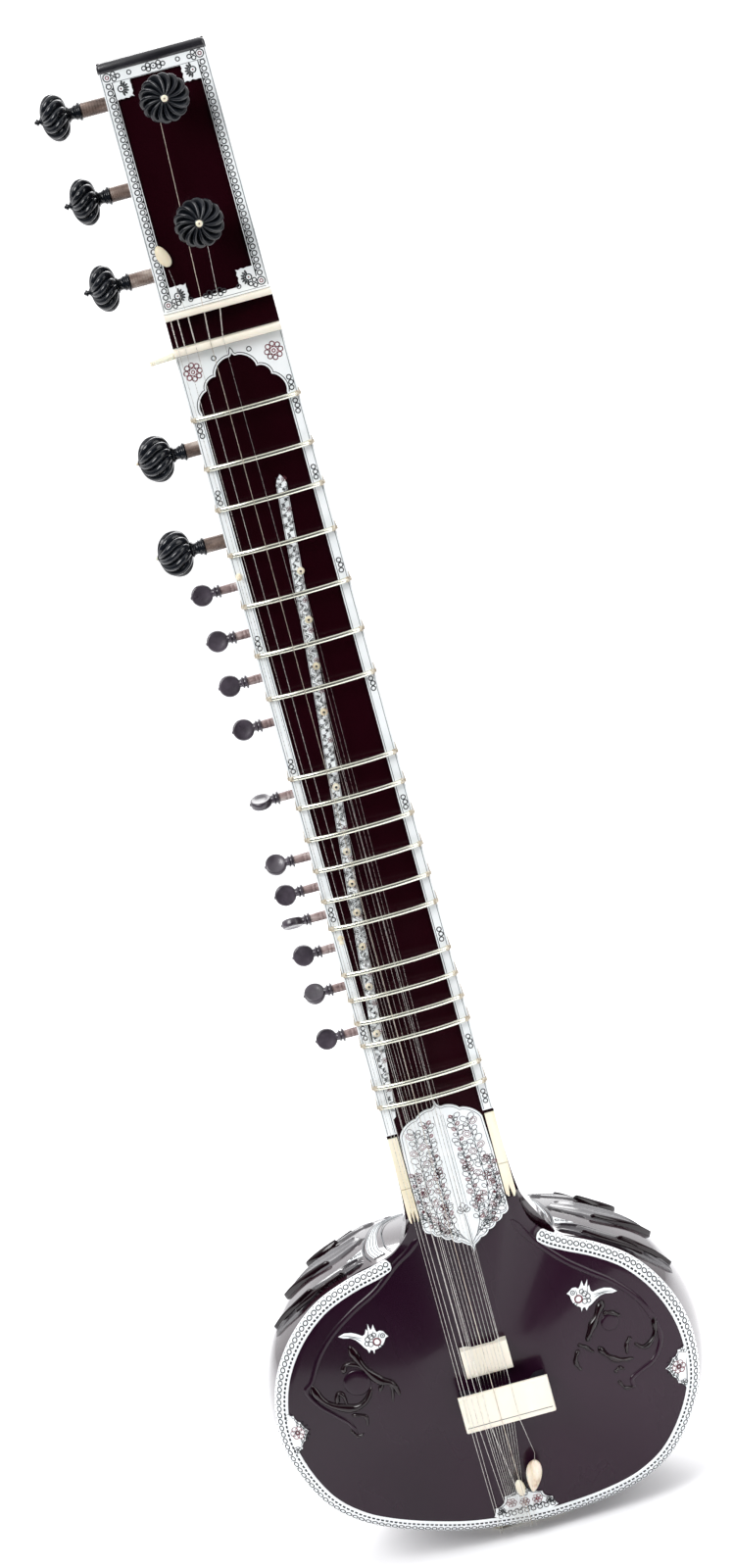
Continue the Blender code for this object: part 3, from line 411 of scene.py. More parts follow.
# The heads' lightened purple-grey base colour is painted sheen, standing in for the pale sheen on the discs'
# concave faces.
TARAF_BLACK_PAINTED_SHEEN = surface(
    "taraf_black_painted_sheen", [(0.3, (0.022, 0.017, 0.024)), (0.7, (0.085, 0.070, 0.090))], 70.0,
    rough=(0.26, 0.38), grain=(260.0, 0.10, 0.0002), Coat_Weight=0.5, Coat_Roughness=0.15,
)
TARAF_SHAFT = surface(
    "taraf_shaft_fine", [(0.3, (0.12, 0.07, 0.07)), (0.52, (0.36, 0.26, 0.25)), (0.72, (0.70, 0.62, 0.60))],
    160.0, stretch=(0.25, 1, 1), rough=(0.35, 0.5), grain=(300.0, 0.2, 0.0002),
)
BEAD_BONE = surface(
    "bead_bone_fine", [(0.30, (0.42, 0.30, 0.20)), (0.45, (0.72, 0.62, 0.48)), (0.75, (0.87, 0.83, 0.74))],
    110.0, stretch=(1, 1, 0.3), rough=(0.24, 0.36), grain=(300.0, 0.1, 0.0002),
    Subsurface_Weight=0.2, Subsurface_Scale=0.003,
)


# ---------------------------------------------------------------- mesh building
class Piece:
    """Vertices and faces gathered for one object."""

    def __init__(self):
        self.verts = []
        self.faces = []

    def add(self, points):
        start = len(self.verts)
        self.verts.extend(points)
        return list(range(start, len(self.verts)))

    def face(self, corners):
        self.faces.append(tuple(corners))

    def skin(self, rings, caps=True):
        """Faces between rings of equal length; caps closes both ends."""
        loops = [self.add(ring) for ring in rings]
        for low, high in zip(loops, loops[1:]):
            count = len(low)
            for i in range(count):
                j = (i + 1) % count
                self.face((low[i], low[j], high[j], high[i]))
        if caps:
            self.face(loops[0][::-1])
            self.face(loops[-1])
        return loops

    def tube(self, path, radius, sides=8):
        """A round bar along a path; radius may be a function of the share of the way."""
        path = [Vector(p) for p in path]
        count = len(path)
        normal = None
        rings = []
        for i in range(count):
            along = (path[min(i + 1, count - 1)] - path[max(i - 1, 0)]).normalized()
            if normal is None:
                normal = along.orthogonal().normalized()
            normal = (normal - along * normal.dot(along)).normalized()
            other = along.cross(normal)
            r = radius(i / max(count - 1, 1)) if callable(radius) else radius
            rings.append([
                path[i] + (normal * cos(2 * pi * k / sides) + other * sin(2 * pi * k / sides)) * r
                for k in range(sides)
            ])
        self.skin(rings)

    def plate(self, outlines, front, back, bevel=0.0004, place=None):
        """A flat plate from an outline and holes, with its front edges eased."""
        place = place or P
        sides = []
        for n, line in enumerate(outlines):
            area = sum(a[0] * b[1] - b[0] * a[1] for a, b in zip(line, line[1:] + line[:1]))
            if (area > 0) != (n == 0):
                line = line[::-1]
            eased = []
            count = len(line)
            for i, (x, s) in enumerate(line):
                a, b = line[i - 1], line[(i + 1) % count]
                da, db = (x - a[0], s - a[1]), (b[0] - x, b[1] - s)
                la, lb = hypot(*da) or 1.0, hypot(*db) or 1.0
                nx = -(da[1] / la + db[1] / lb)
                ns = da[0] / la + db[0] / lb
                ln = max(hypot(nx, ns), 0.7)
                eased.append((x + nx / ln * bevel, s + ns / ln * bevel))
            sides.append((line, eased))
        tops = []
        for line, eased in sides:
            loops = self.skin([
                [place(x, s, back) for x, s in line],
                [place(x, s, front + bevel) for x, s in line],
                [place(x, s, front) for x, s in eased],
            ], caps=False)
            tops.append((loops[2], eased, loops[0], line))
        for pick, flat in ((0, 1), (2, 3)):
            index = [i for top in tops for i in top[pick]]
            for tri in tessellate_polygon([[Vector((x, s, 0.0)) for x, s in top[flat]] for top in tops]):
                self.face([index[i] for i in tri])

    def lathe(self, profile, frame_of, segments=32, flute=None):
        """A turned form from (height, radius); flute gives each point's radius, its turn and its drop."""
        origin, axis, side, other = frame_of
        rings = []
        for height, radius in profile:
            ring = []
            for i in range(segments):
                angle = 2 * pi * i / segments
                r, turn, drop = flute(height, radius, angle) if flute else (radius, 0.0, 0.0)
                out = side * cos(angle + turn) + other * sin(angle + turn)
                ring.append(origin + axis * (height - drop) + out * r)
            rings.append(ring)
        self.skin(rings)


def axes(origin, axis):
    axis = Vector(axis).normalized()
    side = Vector((0, 0, 1)) if abs(axis.z) < 0.9 else Vector((1, 0, 0))
    side = (side - axis * side.dot(axis)).normalized()
    return Vector(origin), axis, side, axis.cross(side)


def make(name, piece, material, body=ROOT, nodes=(), smooth=35, weld=True):
    """Turn a Piece into an object that rides on a body."""
    data = bpy.data.meshes.new(name)
    data.from_pydata([tuple(v) for v in piece.verts], [], piece.faces)
    data.materials.append(material)
    mesh = bmesh.new()
    mesh.from_mesh(data)
    if weld:
        bmesh.ops.remove_doubles(mesh, verts=mesh.verts, dist=1e-6)
    bmesh.ops.recalc_face_normals(mesh, faces=mesh.faces)
    mesh.to_mesh(data)
    mesh.free()
    data.shade_smooth()
    data.set_sharp_from_angle(angle=radians(smooth))
    made = bpy.data.objects.new(name, data)
    bpy.context.scene.collection.objects.link(made)
    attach(made, body)
    if nodes:
        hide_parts(*nodes)
    return made


LEAF_FATNESS = 0.34


class Ink:
    """Thin engraved marks drawn in a chart's own plane and laid on its surface."""

    def __init__(self, chart, weight=1.6):
        self.chart = chart
        self.weight = weight
        self.piece = Piece()

    def polygon(self, outline):
        self.piece.face(self.piece.add([self.chart(x, s) for x, s in outline]))

    def strip(self, points, width, closed=False, taper=False):
        width *= self.weight
        count = len(points)
        left, right = [], []
        for i, (x, s) in enumerate(points):
            a = points[i - 1] if (closed or i) else points[i]
            b = points[(i + 1) % count] if (closed or i < count - 1) else points[i]
            dx, ds = b[0] - a[0], b[1] - a[1]
            n = hypot(dx, ds) or 1.0
            half = width / 2
            if taper:
                half *= 0.15 + 0.85 * sin(pi * i / (count - 1))
            left.append(self.chart(x - ds / n * half, s + dx / n * half))
            right.append(self.chart(x + ds / n * half, s - dx / n * half))
        a, b = self.piece.add(left), self.piece.add(right)
        for i in range(count if closed else count - 1):
            j = (i + 1) % count
            self.piece.face((a[i], a[j], b[j], b[i]))

    def ring(self, x, s, radius, width, steps=18):
        self.strip([
            (x + radius * cos(2 * pi * i / steps), s + radius * sin(2 * pi * i / steps))
            for i in range(steps)
        ], width, closed=True)

    def disc(self, x, s, radius, steps=12):
        self.polygon([
            (x + radius * cos(2 * pi * i / steps), s + radius * sin(2 * pi * i / steps))
            for i in range(steps)
        ])

    def flower(self, x, s, radius, petals=5, width=0.00022, turn=0.0):
        """Round petals about a centre."""
        petal = radius * 0.42
        for i in range(petals):
            angle = turn + 2 * pi * i / petals
            self.ring(x + (radius - petal) * cos(angle), s + (radius - petal) * sin(angle), petal, width, 12)
        self.ring(x, s, radius * 0.24, width, 10)

    def leaf(self, x, s, length, angle, width=0.00022):
        """A pointed leaf with its midrib."""
        ca, sa = cos(angle), sin(angle)
        for side in (-1, 1):
            line = []
            for i in range(9):
                t = i / 8
                across = side * LEAF_FATNESS * length * sin(pi * t) ** 0.8 * 0.5
                line.append((x + ca * t * length - sa * across, s + sa * t * length + ca * across))
            self.strip(line, width)
        self.strip([(x, s), (x + ca * length * 0.8, s + sa * length * 0.8)], width * 0.8)

    def make(self, name, material):
        made = make(name, self.piece, material, smooth=20, weld=False)
        thick = made.modifiers.new("thickness", "SOLIDIFY")
        thick.thickness = 0.00006
        thick.offset = 0.0


def flat(depth=0.0):
    """A chart on a plate that lies parallel to the neck's face."""
    return lambda x, s: P(x, s, depth - 0.00005)


def board_ink(lift):
    """A pen for marks that lie in front of the soundboard."""
    return Ink(lambda x, s: on_board(x, s, lift))


def board_place(x, s, d):
    """A place d behind the soundboard's front, for plates laid on it."""
    return on_board(x, s, -d)


# ---------------------------------------------------------------- neck and head
HEAD_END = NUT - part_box("neck_trough")[1].z
NECK_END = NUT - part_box("neck_trough")[0].z
BORDER_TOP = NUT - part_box("head_border")[1].z
BORDER_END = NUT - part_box("head_border")[0].z
BINDING_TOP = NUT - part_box("neck_binding")[1].z
BINDING_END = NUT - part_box("neck_binding")[0].z
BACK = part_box("neck_trough")[1].y - FACE


PROFILE_STEPS = 28
SIDE_DEPTH = 0.030      # the neck's sides are straight down to here, then round


def neck_profile(width, grow=0.0, top=PANEL + SKIN + 2 * GAP, deep=None):
    """The neck's outside from the bass edge round the back to the treble edge."""
    deep = deep or BACK
    points = [(-width - grow, top)]
    for i in range(PROFILE_STEPS + 1):
        angle = pi * i / PROFILE_STEPS
        points.append((-(width + grow) * cos(angle), SIDE_DEPTH + (deep - SIDE_DEPTH + grow) * sin(angle)))
    points.append((width + grow, top))
    return points


def neck_body():
    """The dark neck and head, hollow under its panels, with a bore for every side peg."""
    piece = Piece()
    rings = []
    for down, shrink in ((0.0, 0.0035), (0.0012, 0.0012), (0.0035, 0.0), (None, 0.0)):
        s = NECK_END if down is None else HEAD_END + down
        rings.append([P(x, s, d) for x, d in neck_profile(half_width(s) - shrink, deep=BACK - shrink)])
    piece.skin(rings)
    made = make("neck_and_head", piece, LACQUER, nodes=("neck_trough",), smooth=40)
    cutters = Piece()
    wall = 0.008
    cutters.skin([
        [P(x, s, d) for x, d in neck_profile(half_width(s), grow=-wall, top=-0.010)]
        for s in (HEAD_END + 0.012, NECK_END + 0.012)
    ])
    for name, joint in JOINTS.items():
        axis = Vector(joint["axis"])
        if joint["type"] != "hinge" or abs(axis.x) < 0.5:
            continue
        radius = 0.0068 if "taraf" not in name else 0.0042
        start = Vector(joint["pos_m"]) + axis * 0.004
        cutters.tube([start, start - axis * 0.025], radius, sides=20)
    cut(made, cutters)


def cut(made, cutters):
    """Cut the gathered closed forms out of a piece."""
    data = bpy.data.meshes.new("cutters")
    data.from_pydata([tuple(v) for v in cutters.verts], [], cutters.faces)
    mesh = bmesh.new()
    mesh.from_mesh(data)
    bmesh.ops.recalc_face_normals(mesh, faces=mesh.faces)
    mesh.to_mesh(data)
    mesh.free()
    helper = bpy.data.objects.new("cutters", data)
    bpy.context.scene.collection.objects.link(helper)
    step = made.modifiers.new("cut", "BOOLEAN")
    step.operation = "DIFFERENCE"
    step.solver = "EXACT"
    step.use_self = True
    step.object = helper
    bpy.context.view_layer.update()
    evaluated = made.evaluated_get(bpy.context.evaluated_depsgraph_get())
    result = bpy.data.meshes.new_from_object(evaluated)
    made.modifiers.remove(step)
    made.data = result
    result.shade_smooth()
    result.set_sharp_from_angle(angle=radians(35))
    bpy.data.objects.remove(helper)


def head_cap():
    """The dark rounded end of the head, above the border."""
    piece = Piece()
    rings = []
    top, end = HEAD_END, BORDER_TOP + 0.0022
    for i in range(13):
        angle = pi * i / 12
        s = mix(top, end, (1 - cos(angle)) / 2)
        front = SKIN + 0.0003 - 0.0045 * sin(angle) ** 0.6
        w = half_width(s) + 0.0006 - 0.0030 * max(0.0, cos(angle)) ** 3
        rings.append([
            P(-w, s, front + 0.0022), P(-w + 0.0008, s, front + 0.0006), P(-w + 0.0026, s, front),
            P(w - 0.0026, s, front), P(w - 0.0008, s, front + 0.0006), P(w, s, front + 0.0022),
            P(w, s, PANEL), P(-w, s, PANEL),
        ])
    piece.skin(rings)
    make("head_cap", piece, EBONY, smooth=50)


def jagged(start, end, teeth, depth):
    """A torn-looking edge between two corners."""
    out = []
    dx, ds = end[0] - start[0], end[1] - start[1]
    n = hypot(dx, ds)
    for i in range(teeth * 2):
        t = i / (teeth * 2)
        push = depth * (0.9 if i % 2 else -0.2) * (0.7 + 0.5 * sin(7.3 * i + 31 * start[0] * 100))
        if i == 0:
            push = 0.0
        out.append((start[0] + dx * t + ds / n * push, start[1] + ds * t - dx / n * push))
    return out


SIDE_STRIP, END_STRIP, CORNER = 0.0092, 0.0108, 0.0135


def border_window():
    """The head border's opening, with a jagged square standing into each corner."""
    inner = half_width(BORDER_TOP) - SIDE_STRIP
    top, end = BORDER_TOP + END_STRIP, BORDER_END - END_STRIP + 0.006
    corners = []
    for sx, ss in ((1, -1), (1, 1), (-1, 1), (-1, -1)):
        x = sx * inner
        s = top if ss < 0 else end
        a = (x - sx * CORNER, s)
        b = (x - sx * CORNER, s - ss * CORNER)
        c = (x, s - ss * CORNER)
        line = [a, b, c] if sx * ss < 0 else [c, b, a]
        corners.append(line)
    path = []
    for line in corners:
        path += jagged(line[0], line[1], 3, 0.0009)
        path += jagged(line[1], line[2], 3, 0.0009)
        path.append(line[2])
    return path


def head_border():
    piece = Piece()
    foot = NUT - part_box("string_guide")[1].z - GAP
    w0, w1 = half_width(BORDER_TOP), half_width(foot)
    outer = [(-w0, BORDER_TOP), (w0, BORDER_TOP), (w1, foot), (-w1, foot)]
    piece.plate([outer, border_window()], 0.0, SKIN, bevel=0.0003)
    make("head_border_sheet", piece, SHEET, nodes=("head_border",))
    ink = Ink(flat(), 2.1)
    line = Ink(flat())
    rose = Ink(flat())
    first, last = BORDER_TOP + 0.0125, BORDER_END - 0.0115
    count = 33
    for side in (-1, 1):
        for i in range(count):
            s = mix(first, last, i / (count - 1))
            x = side * (half_width(s) - 0.0052)
            ink.ring(x, s, 0.0019, 0.00042)
            if i < count - 1:
                t = mix(first, last, (i + 0.5) / (count - 1))
                xi = side * (half_width(t) - 0.0081)
                ink.polygon([(xi, t - 0.0013), (xi, t + 0.0013), (xi + side * 0.0019, t)])
        edge = [(side * (half_width(s) - 0.0012), s) for s in (BORDER_TOP + 0.001, BORDER_END - 0.001)]
        line.strip(edge, 0.0003)
        rail = [(side * (half_width(s) - 0.0085), s) for s in (first - 0.002, last + 0.002)]
        ink.strip(rail, 0.00035)
    for s in (BORDER_TOP + 0.0056, BORDER_END - 0.0052):
        for x in (-0.0195, 0.0195):
            ink.ring(x, s, 0.0016, 0.00038)
        for x, r, ds in ((0, 0.0022, 0), (-0.0042, 0.0017, -0.0014), (-0.0042, 0.0016, 0.0018),
                         (0.0042, 0.0017, -0.0014), (0.0042, 0.0016, 0.0018), (-0.0076, 0.0016, 0.0002),
                         (0.0076, 0.0016, 0.0002)):
            ink.ring(x, s + ds, r, 0.0004)
        ink.disc(0, s, 0.0006)
        for side in (-1, 1):
            x = side * (half_width(s) - 0.0056)
            ink.ring(x, s, 0.0031, 0.0004)
            rose.ring(x, s, 0.0013, 0.0005)
            for dx, ds in ((-0.0052, -0.0020), (-0.0052, 0.0022), (-0.0085, 0.0004)):
                ink.ring(x + side * dx, s + ds, 0.0016, 0.0004)
        line.strip([(-half_width(s) + 0.003, s + 0.0047), (half_width(s) - 0.003, s + 0.0047)], 0.00025)
    inner = half_width(BORDER_TOP) - SIDE_STRIP
    for sx in (-1, 1):
        for s in (BORDER_TOP + END_STRIP + 0.0055, BORDER_END - END_STRIP + 0.0005):
            x = sx * (inner - 0.0048)
            ink.ring(x, s, 0.0024, 0.00045)
            rose.disc(x, s, 0.0007)
            for k in range(7):
                angle = pi * (1 if sx > 0 else 0) + (k - 3) * 0.42
                ink.leaf(x + cos(angle) * 0.0028, s + sin(angle) * 0.0028, 0.0034, angle, 0.00026)
    ink.make("head_border_engraving", INK)
    line.make("head_border_lines", LINE_INK)
    rose.make("head_border_rosettes", ROSE_INK)


def string_eyelet():
    """The bone eyelet on the border's bass strip."""
    piece = Piece()
    rings = []
    steps = 28
    for i in range(11):
        angle = pi / 2 * i / 10
        grow, lift = cos(angle), 0.0030 * sin(angle)
        ring = []
        for k in range(steps):
            a = 2 * pi * k / steps
            egg = 1.0 + 0.12 * sin(a)
            x, s = 0.0052 * grow * egg * cos(a), 0.0089 * grow * sin(a)
            ring.append(P(-0.0318 + x + 0.25 * s, -0.0750 + s, -lift))
        rings.append(ring)
    piece.skin(rings)
    make("string_eyelet", piece, BONE, smooth=60)


def bar(name, node, round_over, notches=()):
    """A bone bar across the neck with rounded upper edges and string notches."""
    low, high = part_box(node)
    piece = Piece()
    count = 88
    rings = []
    for i in range(count + 1):
        x = mix(low.x, high.x, i / count)
        edge = min((x - low.x) / 0.0015, (high.x - x) / 0.0015, 1.0)
        ease = (1 - edge) ** 2 * 0.0010
        cutdown = max([0.0009 * max(0.0, 1 - abs(x - n) / 0.0009) for n in notches] or [0.0])
        front = low.y + ease + cutdown
        section = []
        half = (high.z - low.z) / 2
        middle = (high.z + low.z) / 2
        for k in range(9):
            a = pi * k / 8
            r = min(round_over, half)
            z = middle + (half - r) * (1 if k < 4 else -1 if k > 4 else 0) + r * cos(a)
            section.append(Vector((x, front + r - r * sin(a) ** 0.8, z)))
        section.append(Vector((x, high.y, low.z)))
        section.append(Vector((x, high.y, high.z)))
        rings.append(section)
    piece.skin(rings)
    make(name, piece, BRIDGE_BONE, nodes=(node,), smooth=50)


def lobed(cusps, bulges, steps=10):
    """An outline that swings outwards between each cusp and the next."""
    points = []
    for (x0, s0), (x1, s1), bulge in zip(cusps, cusps[1:], bulges):
        dx, ds = x1 - x0, s1 - s0
        for i in range(steps):
            t = i / steps
            out = bulge * (4.0 * t * (1.0 - t)) ** 0.8
            points.append((x0 + dx * t + ds * out, s0 + ds * t - dx * out))
    points.append(cusps[-1])
    return points


def arch_line(spread_out=0.0):
    """Right half of the arch's cusped edge, from the apex down; spread_out moves it outwards."""
    inner_edge = half_width(0.052) - 0.0090
    cusps = [
        (0.0, 0.0082), (0.0022, 0.0140), (0.0166, 0.0262), (0.0264, 0.0352), (inner_edge, 0.0520),
    ]
    line = lobed(cusps, (-0.18, 0.20, 0.24, 0.20), steps=9)
    if spread_out:
        line = inset(line, -spread_out)
        line[0] = (0.0, line[0][1] - spread_out * 1.1)
        line = [(max(x, 0.0), s) for x, s in line]
    return line


def neck_binding():
    """The white arch and edge bindings as one sheet, with its engraving; the drone strings' posts on it are
    made by drone_posts.
    """
    strip = 0.0090
    right = arch_line()
    right.append((half_width(BINDING_END) - strip, BINDING_END))
    inner = right + [(-x, s) for x, s in reversed(right[1:])]
    w0, w1 = half_width(BINDING_TOP), half_width(BINDING_END)
    outer = [(w1, BINDING_END), (w0, BINDING_TOP), (-w0, BINDING_TOP), (-w1, BINDING_END)]
    path = inner[:len(right)] + outer + inner[len(right):]
    piece = Piece()
    piece.plate([path], 0.0, SKIN, bevel=0.0003)
    make("neck_binding_sheet", piece, SHEET, nodes=("neck_binding",))
    ink, line, rose = Ink(flat()), Ink(flat()), Ink(flat())
    for side in (-1, 1):
        edge = [(side * x, s) for x, s in arch_line(0.0017)]
        ink.strip(edge, 0.00042)
        cx = side * 0.0328
        for k in range(8):
            a = 2 * pi * k / 8
            rose.ring(cx + 0.0055 * cos(a), 0.0181 + 0.0055 * sin(a), 0.0019, 0.00055, 14)
        rose.ring(cx, 0.0181, 0.0030, 0.0004)
        rose.ring(cx, 0.0181, 0.0013, 0.0006, 12)
        ink.ring(side * 0.0143, 0.0118, 0.0018, 0.0005)
        for lean, width in ((0.0016, 0.00028), (0.0078, 0.00036)):
            start = BINDING_TOP + 0.0010 if lean < 0.005 else 0.0560
            rail = [(side * (half_width(s) - lean), s) for s in (start, BINDING_END - 0.001)]
            line.strip(rail, width)
    fret_places = [station("fret_%02d" % i) for i in range(1, 20)]
    for side, groups in ((-1, (0.064, 0.1195, 0.243, 0.352, 0.470, 0.571)),
                         (1, (0.0525, 0.062, 0.1215, 0.196, 0.292, 0.404, 0.509, 0.602, 0.650))):
        for s0 in groups:
            nearest = min(fret_places, key=lambda f: abs(f - s0))
            if abs(nearest - s0) < 0.009:
                s0 = nearest + (0.0095 if s0 > nearest else -0.0095)
            for k in (-1, 0, 1):
                s = s0 + k * 0.0042
                x = side * (half_width(s) - 0.0046 + (0.0006 if k == 0 else 0))
                ink.ring(x, s, 0.0018, 0.00055)
    ink.strip([(-w0 + 0.001, BINDING_TOP + 0.0005), (w0 - 0.001, BINDING_TOP + 0.0005)], 0.0003)
    ink.make("neck_binding_engraving", INK)
    line.make("neck_binding_lines", LINE_INK)
    rose.make("neck_binding_rosettes", ROSE_INK)


DRONE_POSTS = ((-0.0405, 0.1840, -0.0128), (-0.0384, 0.4910, -0.0168))


def drone_posts():
    """The turned bone posts that carry the two drone strings."""
    piece = Piece()
    for x, s, top in DRONE_POSTS:
        height = -top
        profile = [(0.0, 0.0026), (0.0006, 0.0027), (0.0012, 0.0018), (height * 0.45, 0.0012),
                   (height * 0.75, 0.0013), (height - 0.0012, 0.0019), (height - 0.0006, 0.0014),
                   (height, 0.0010)]
        piece.lathe(profile, axes(P(x, s, 0.0), (0, -1, 0)), 18)
    make("drone_posts", piece, BONE, smooth=50)


def vine(ink, rose, path, width, spacing, seed, size):
    """A leafy stem with blossoms on both sides of a line."""
    line = resample(path, max(int(hypot(path[-1][0] - path[0][0], path[-1][1] - path[0][1]) / spacing), 3))
    wavy = []
    for i, (x, s) in enumerate(resample(path, len(line) * 4)):
        wavy.append((x + width * 0.35 * sin(i * 0.8 + seed), s))
    ink.strip(wavy, 0.00026)
    for i, (x, s) in enumerate(line):
        side = 1 if (i + seed) % 2 else -1
        sway = 0.9 + 0.5 * sin(i * 2.3 + seed)
        if i % 3 == 0:
            pen = rose if (i // 3 + seed) % 2 else ink
            pen.flower(x + side * width * 0.42, s, size * 0.50, 5, 0.00024, i)
            ink.leaf(x - side * width * 0.1, s, size * 0.9, pi / 2 + side * (pi / 2 + 0.5 * sway), 0.00024)
        else:
            for turn in (-0.6, 0.5):
                angle = (0 if side > 0 else pi) + turn * sway * side
                ink.leaf(x, s, size * (0.95 + 0.25 * sin(i + turn)), angle, 0.00024)


def strip_line(s):
    """x of the slanting inlay's middle, which bends a little below the first grommets."""
    if s < 0.3064:
        return mix(0.0117, -0.0047, (s - 0.1159) / (0.3064 - 0.1159))
    return mix(-0.0047, -0.0307, (s - 0.3064) / (0.5757 - 0.3064))


def grommet_places():
    pegs = [station("taraf_peg_%02d" % i) for i in range(1, 12)]
    shares = [(peg - pegs[0]) / (pegs[-1] - pegs[0]) for peg in pegs]
    return [(mix(0.0080, -0.0307, t), mix(0.1926, 0.5757, t)) for t in shares]


def grommet_strip():
    """The slanting inlay with its vine and the bone grommets of the sympathetic strings."""
    low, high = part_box("grommet_strip")
    top, end = NUT - high.z, NUT - low.z
    middle = strip_line
    half = 0.0043
    tip = [(middle(top), top), (middle(top + 0.002) + half * 0.35, top + 0.0018),
           (middle(top + 0.004) + half * 0.72, top + 0.0036), (middle(top + 0.008) + half, top + 0.0078)]
    right = tip + [(middle(s) + half, s) for s in (0.2, 0.3064, 0.45, end - 0.012)]
    left = [(-half_width(s) + 0.0092, s) for s in (end - 0.010, 0.62, 0.590)]
    left += [(middle(s) - half, s) for s in (0.56, 0.45, 0.3064, 0.2)]
    left += [(2 * middle(s) - x, s) for x, s in reversed(tip[1:])]
    front = SKIN - 0.0012
    piece = Piece()
    piece.plate([right + left], front, SKIN, bevel=0.0002)
    make("grommet_strip_sheet", piece, SHEET, nodes=("grommet_strip",))
    chart = flat(front)
    ink, rose = Ink(chart), Ink(chart)
    for upper, lower in ((top + 0.004, 0.3064), (0.3064, end - 0.020)):
        vine(ink, rose, [(middle(upper), upper), (middle(lower), lower)], 0.0062, 0.0040, 1, 0.0042)
    for sign in (-1, 1):
        rail = [(middle(s) + sign * (half - 0.0006), s) for s in (top + 0.008, 0.20, 0.3064, 0.45, 0.555)]
        ink.strip(rail, 0.00028)
    ink.make("grommet_strip_engraving", INK)
    rose.make("grommet_strip_blossoms", ROSE_INK)
    grommets, bore_shades = Piece(), Piece()
    for x, s in grommet_places():
        frame_of = axes(P(x, s, front), (0, -1, 0))
        grommets.lathe([(-0.0004, 0.0030), (0.0004, 0.0031), (0.0012, 0.0028), (0.0022, 0.0022),
                        (0.0026, 0.0016), (0.0024, 0.0010)], frame_of, 20)
        # The black disc on each grommet's top is painted shade: it stands for the dark inside of the bore,
        # which is not cut.
        bore_shades.lathe([(0.0020, 0.0011), (0.0025, 0.0010)], frame_of, 14)
    make("string_grommets", grommets, BONE, smooth=50)
    make("grommet_bore_painted_shade", bore_shades, EBONY)


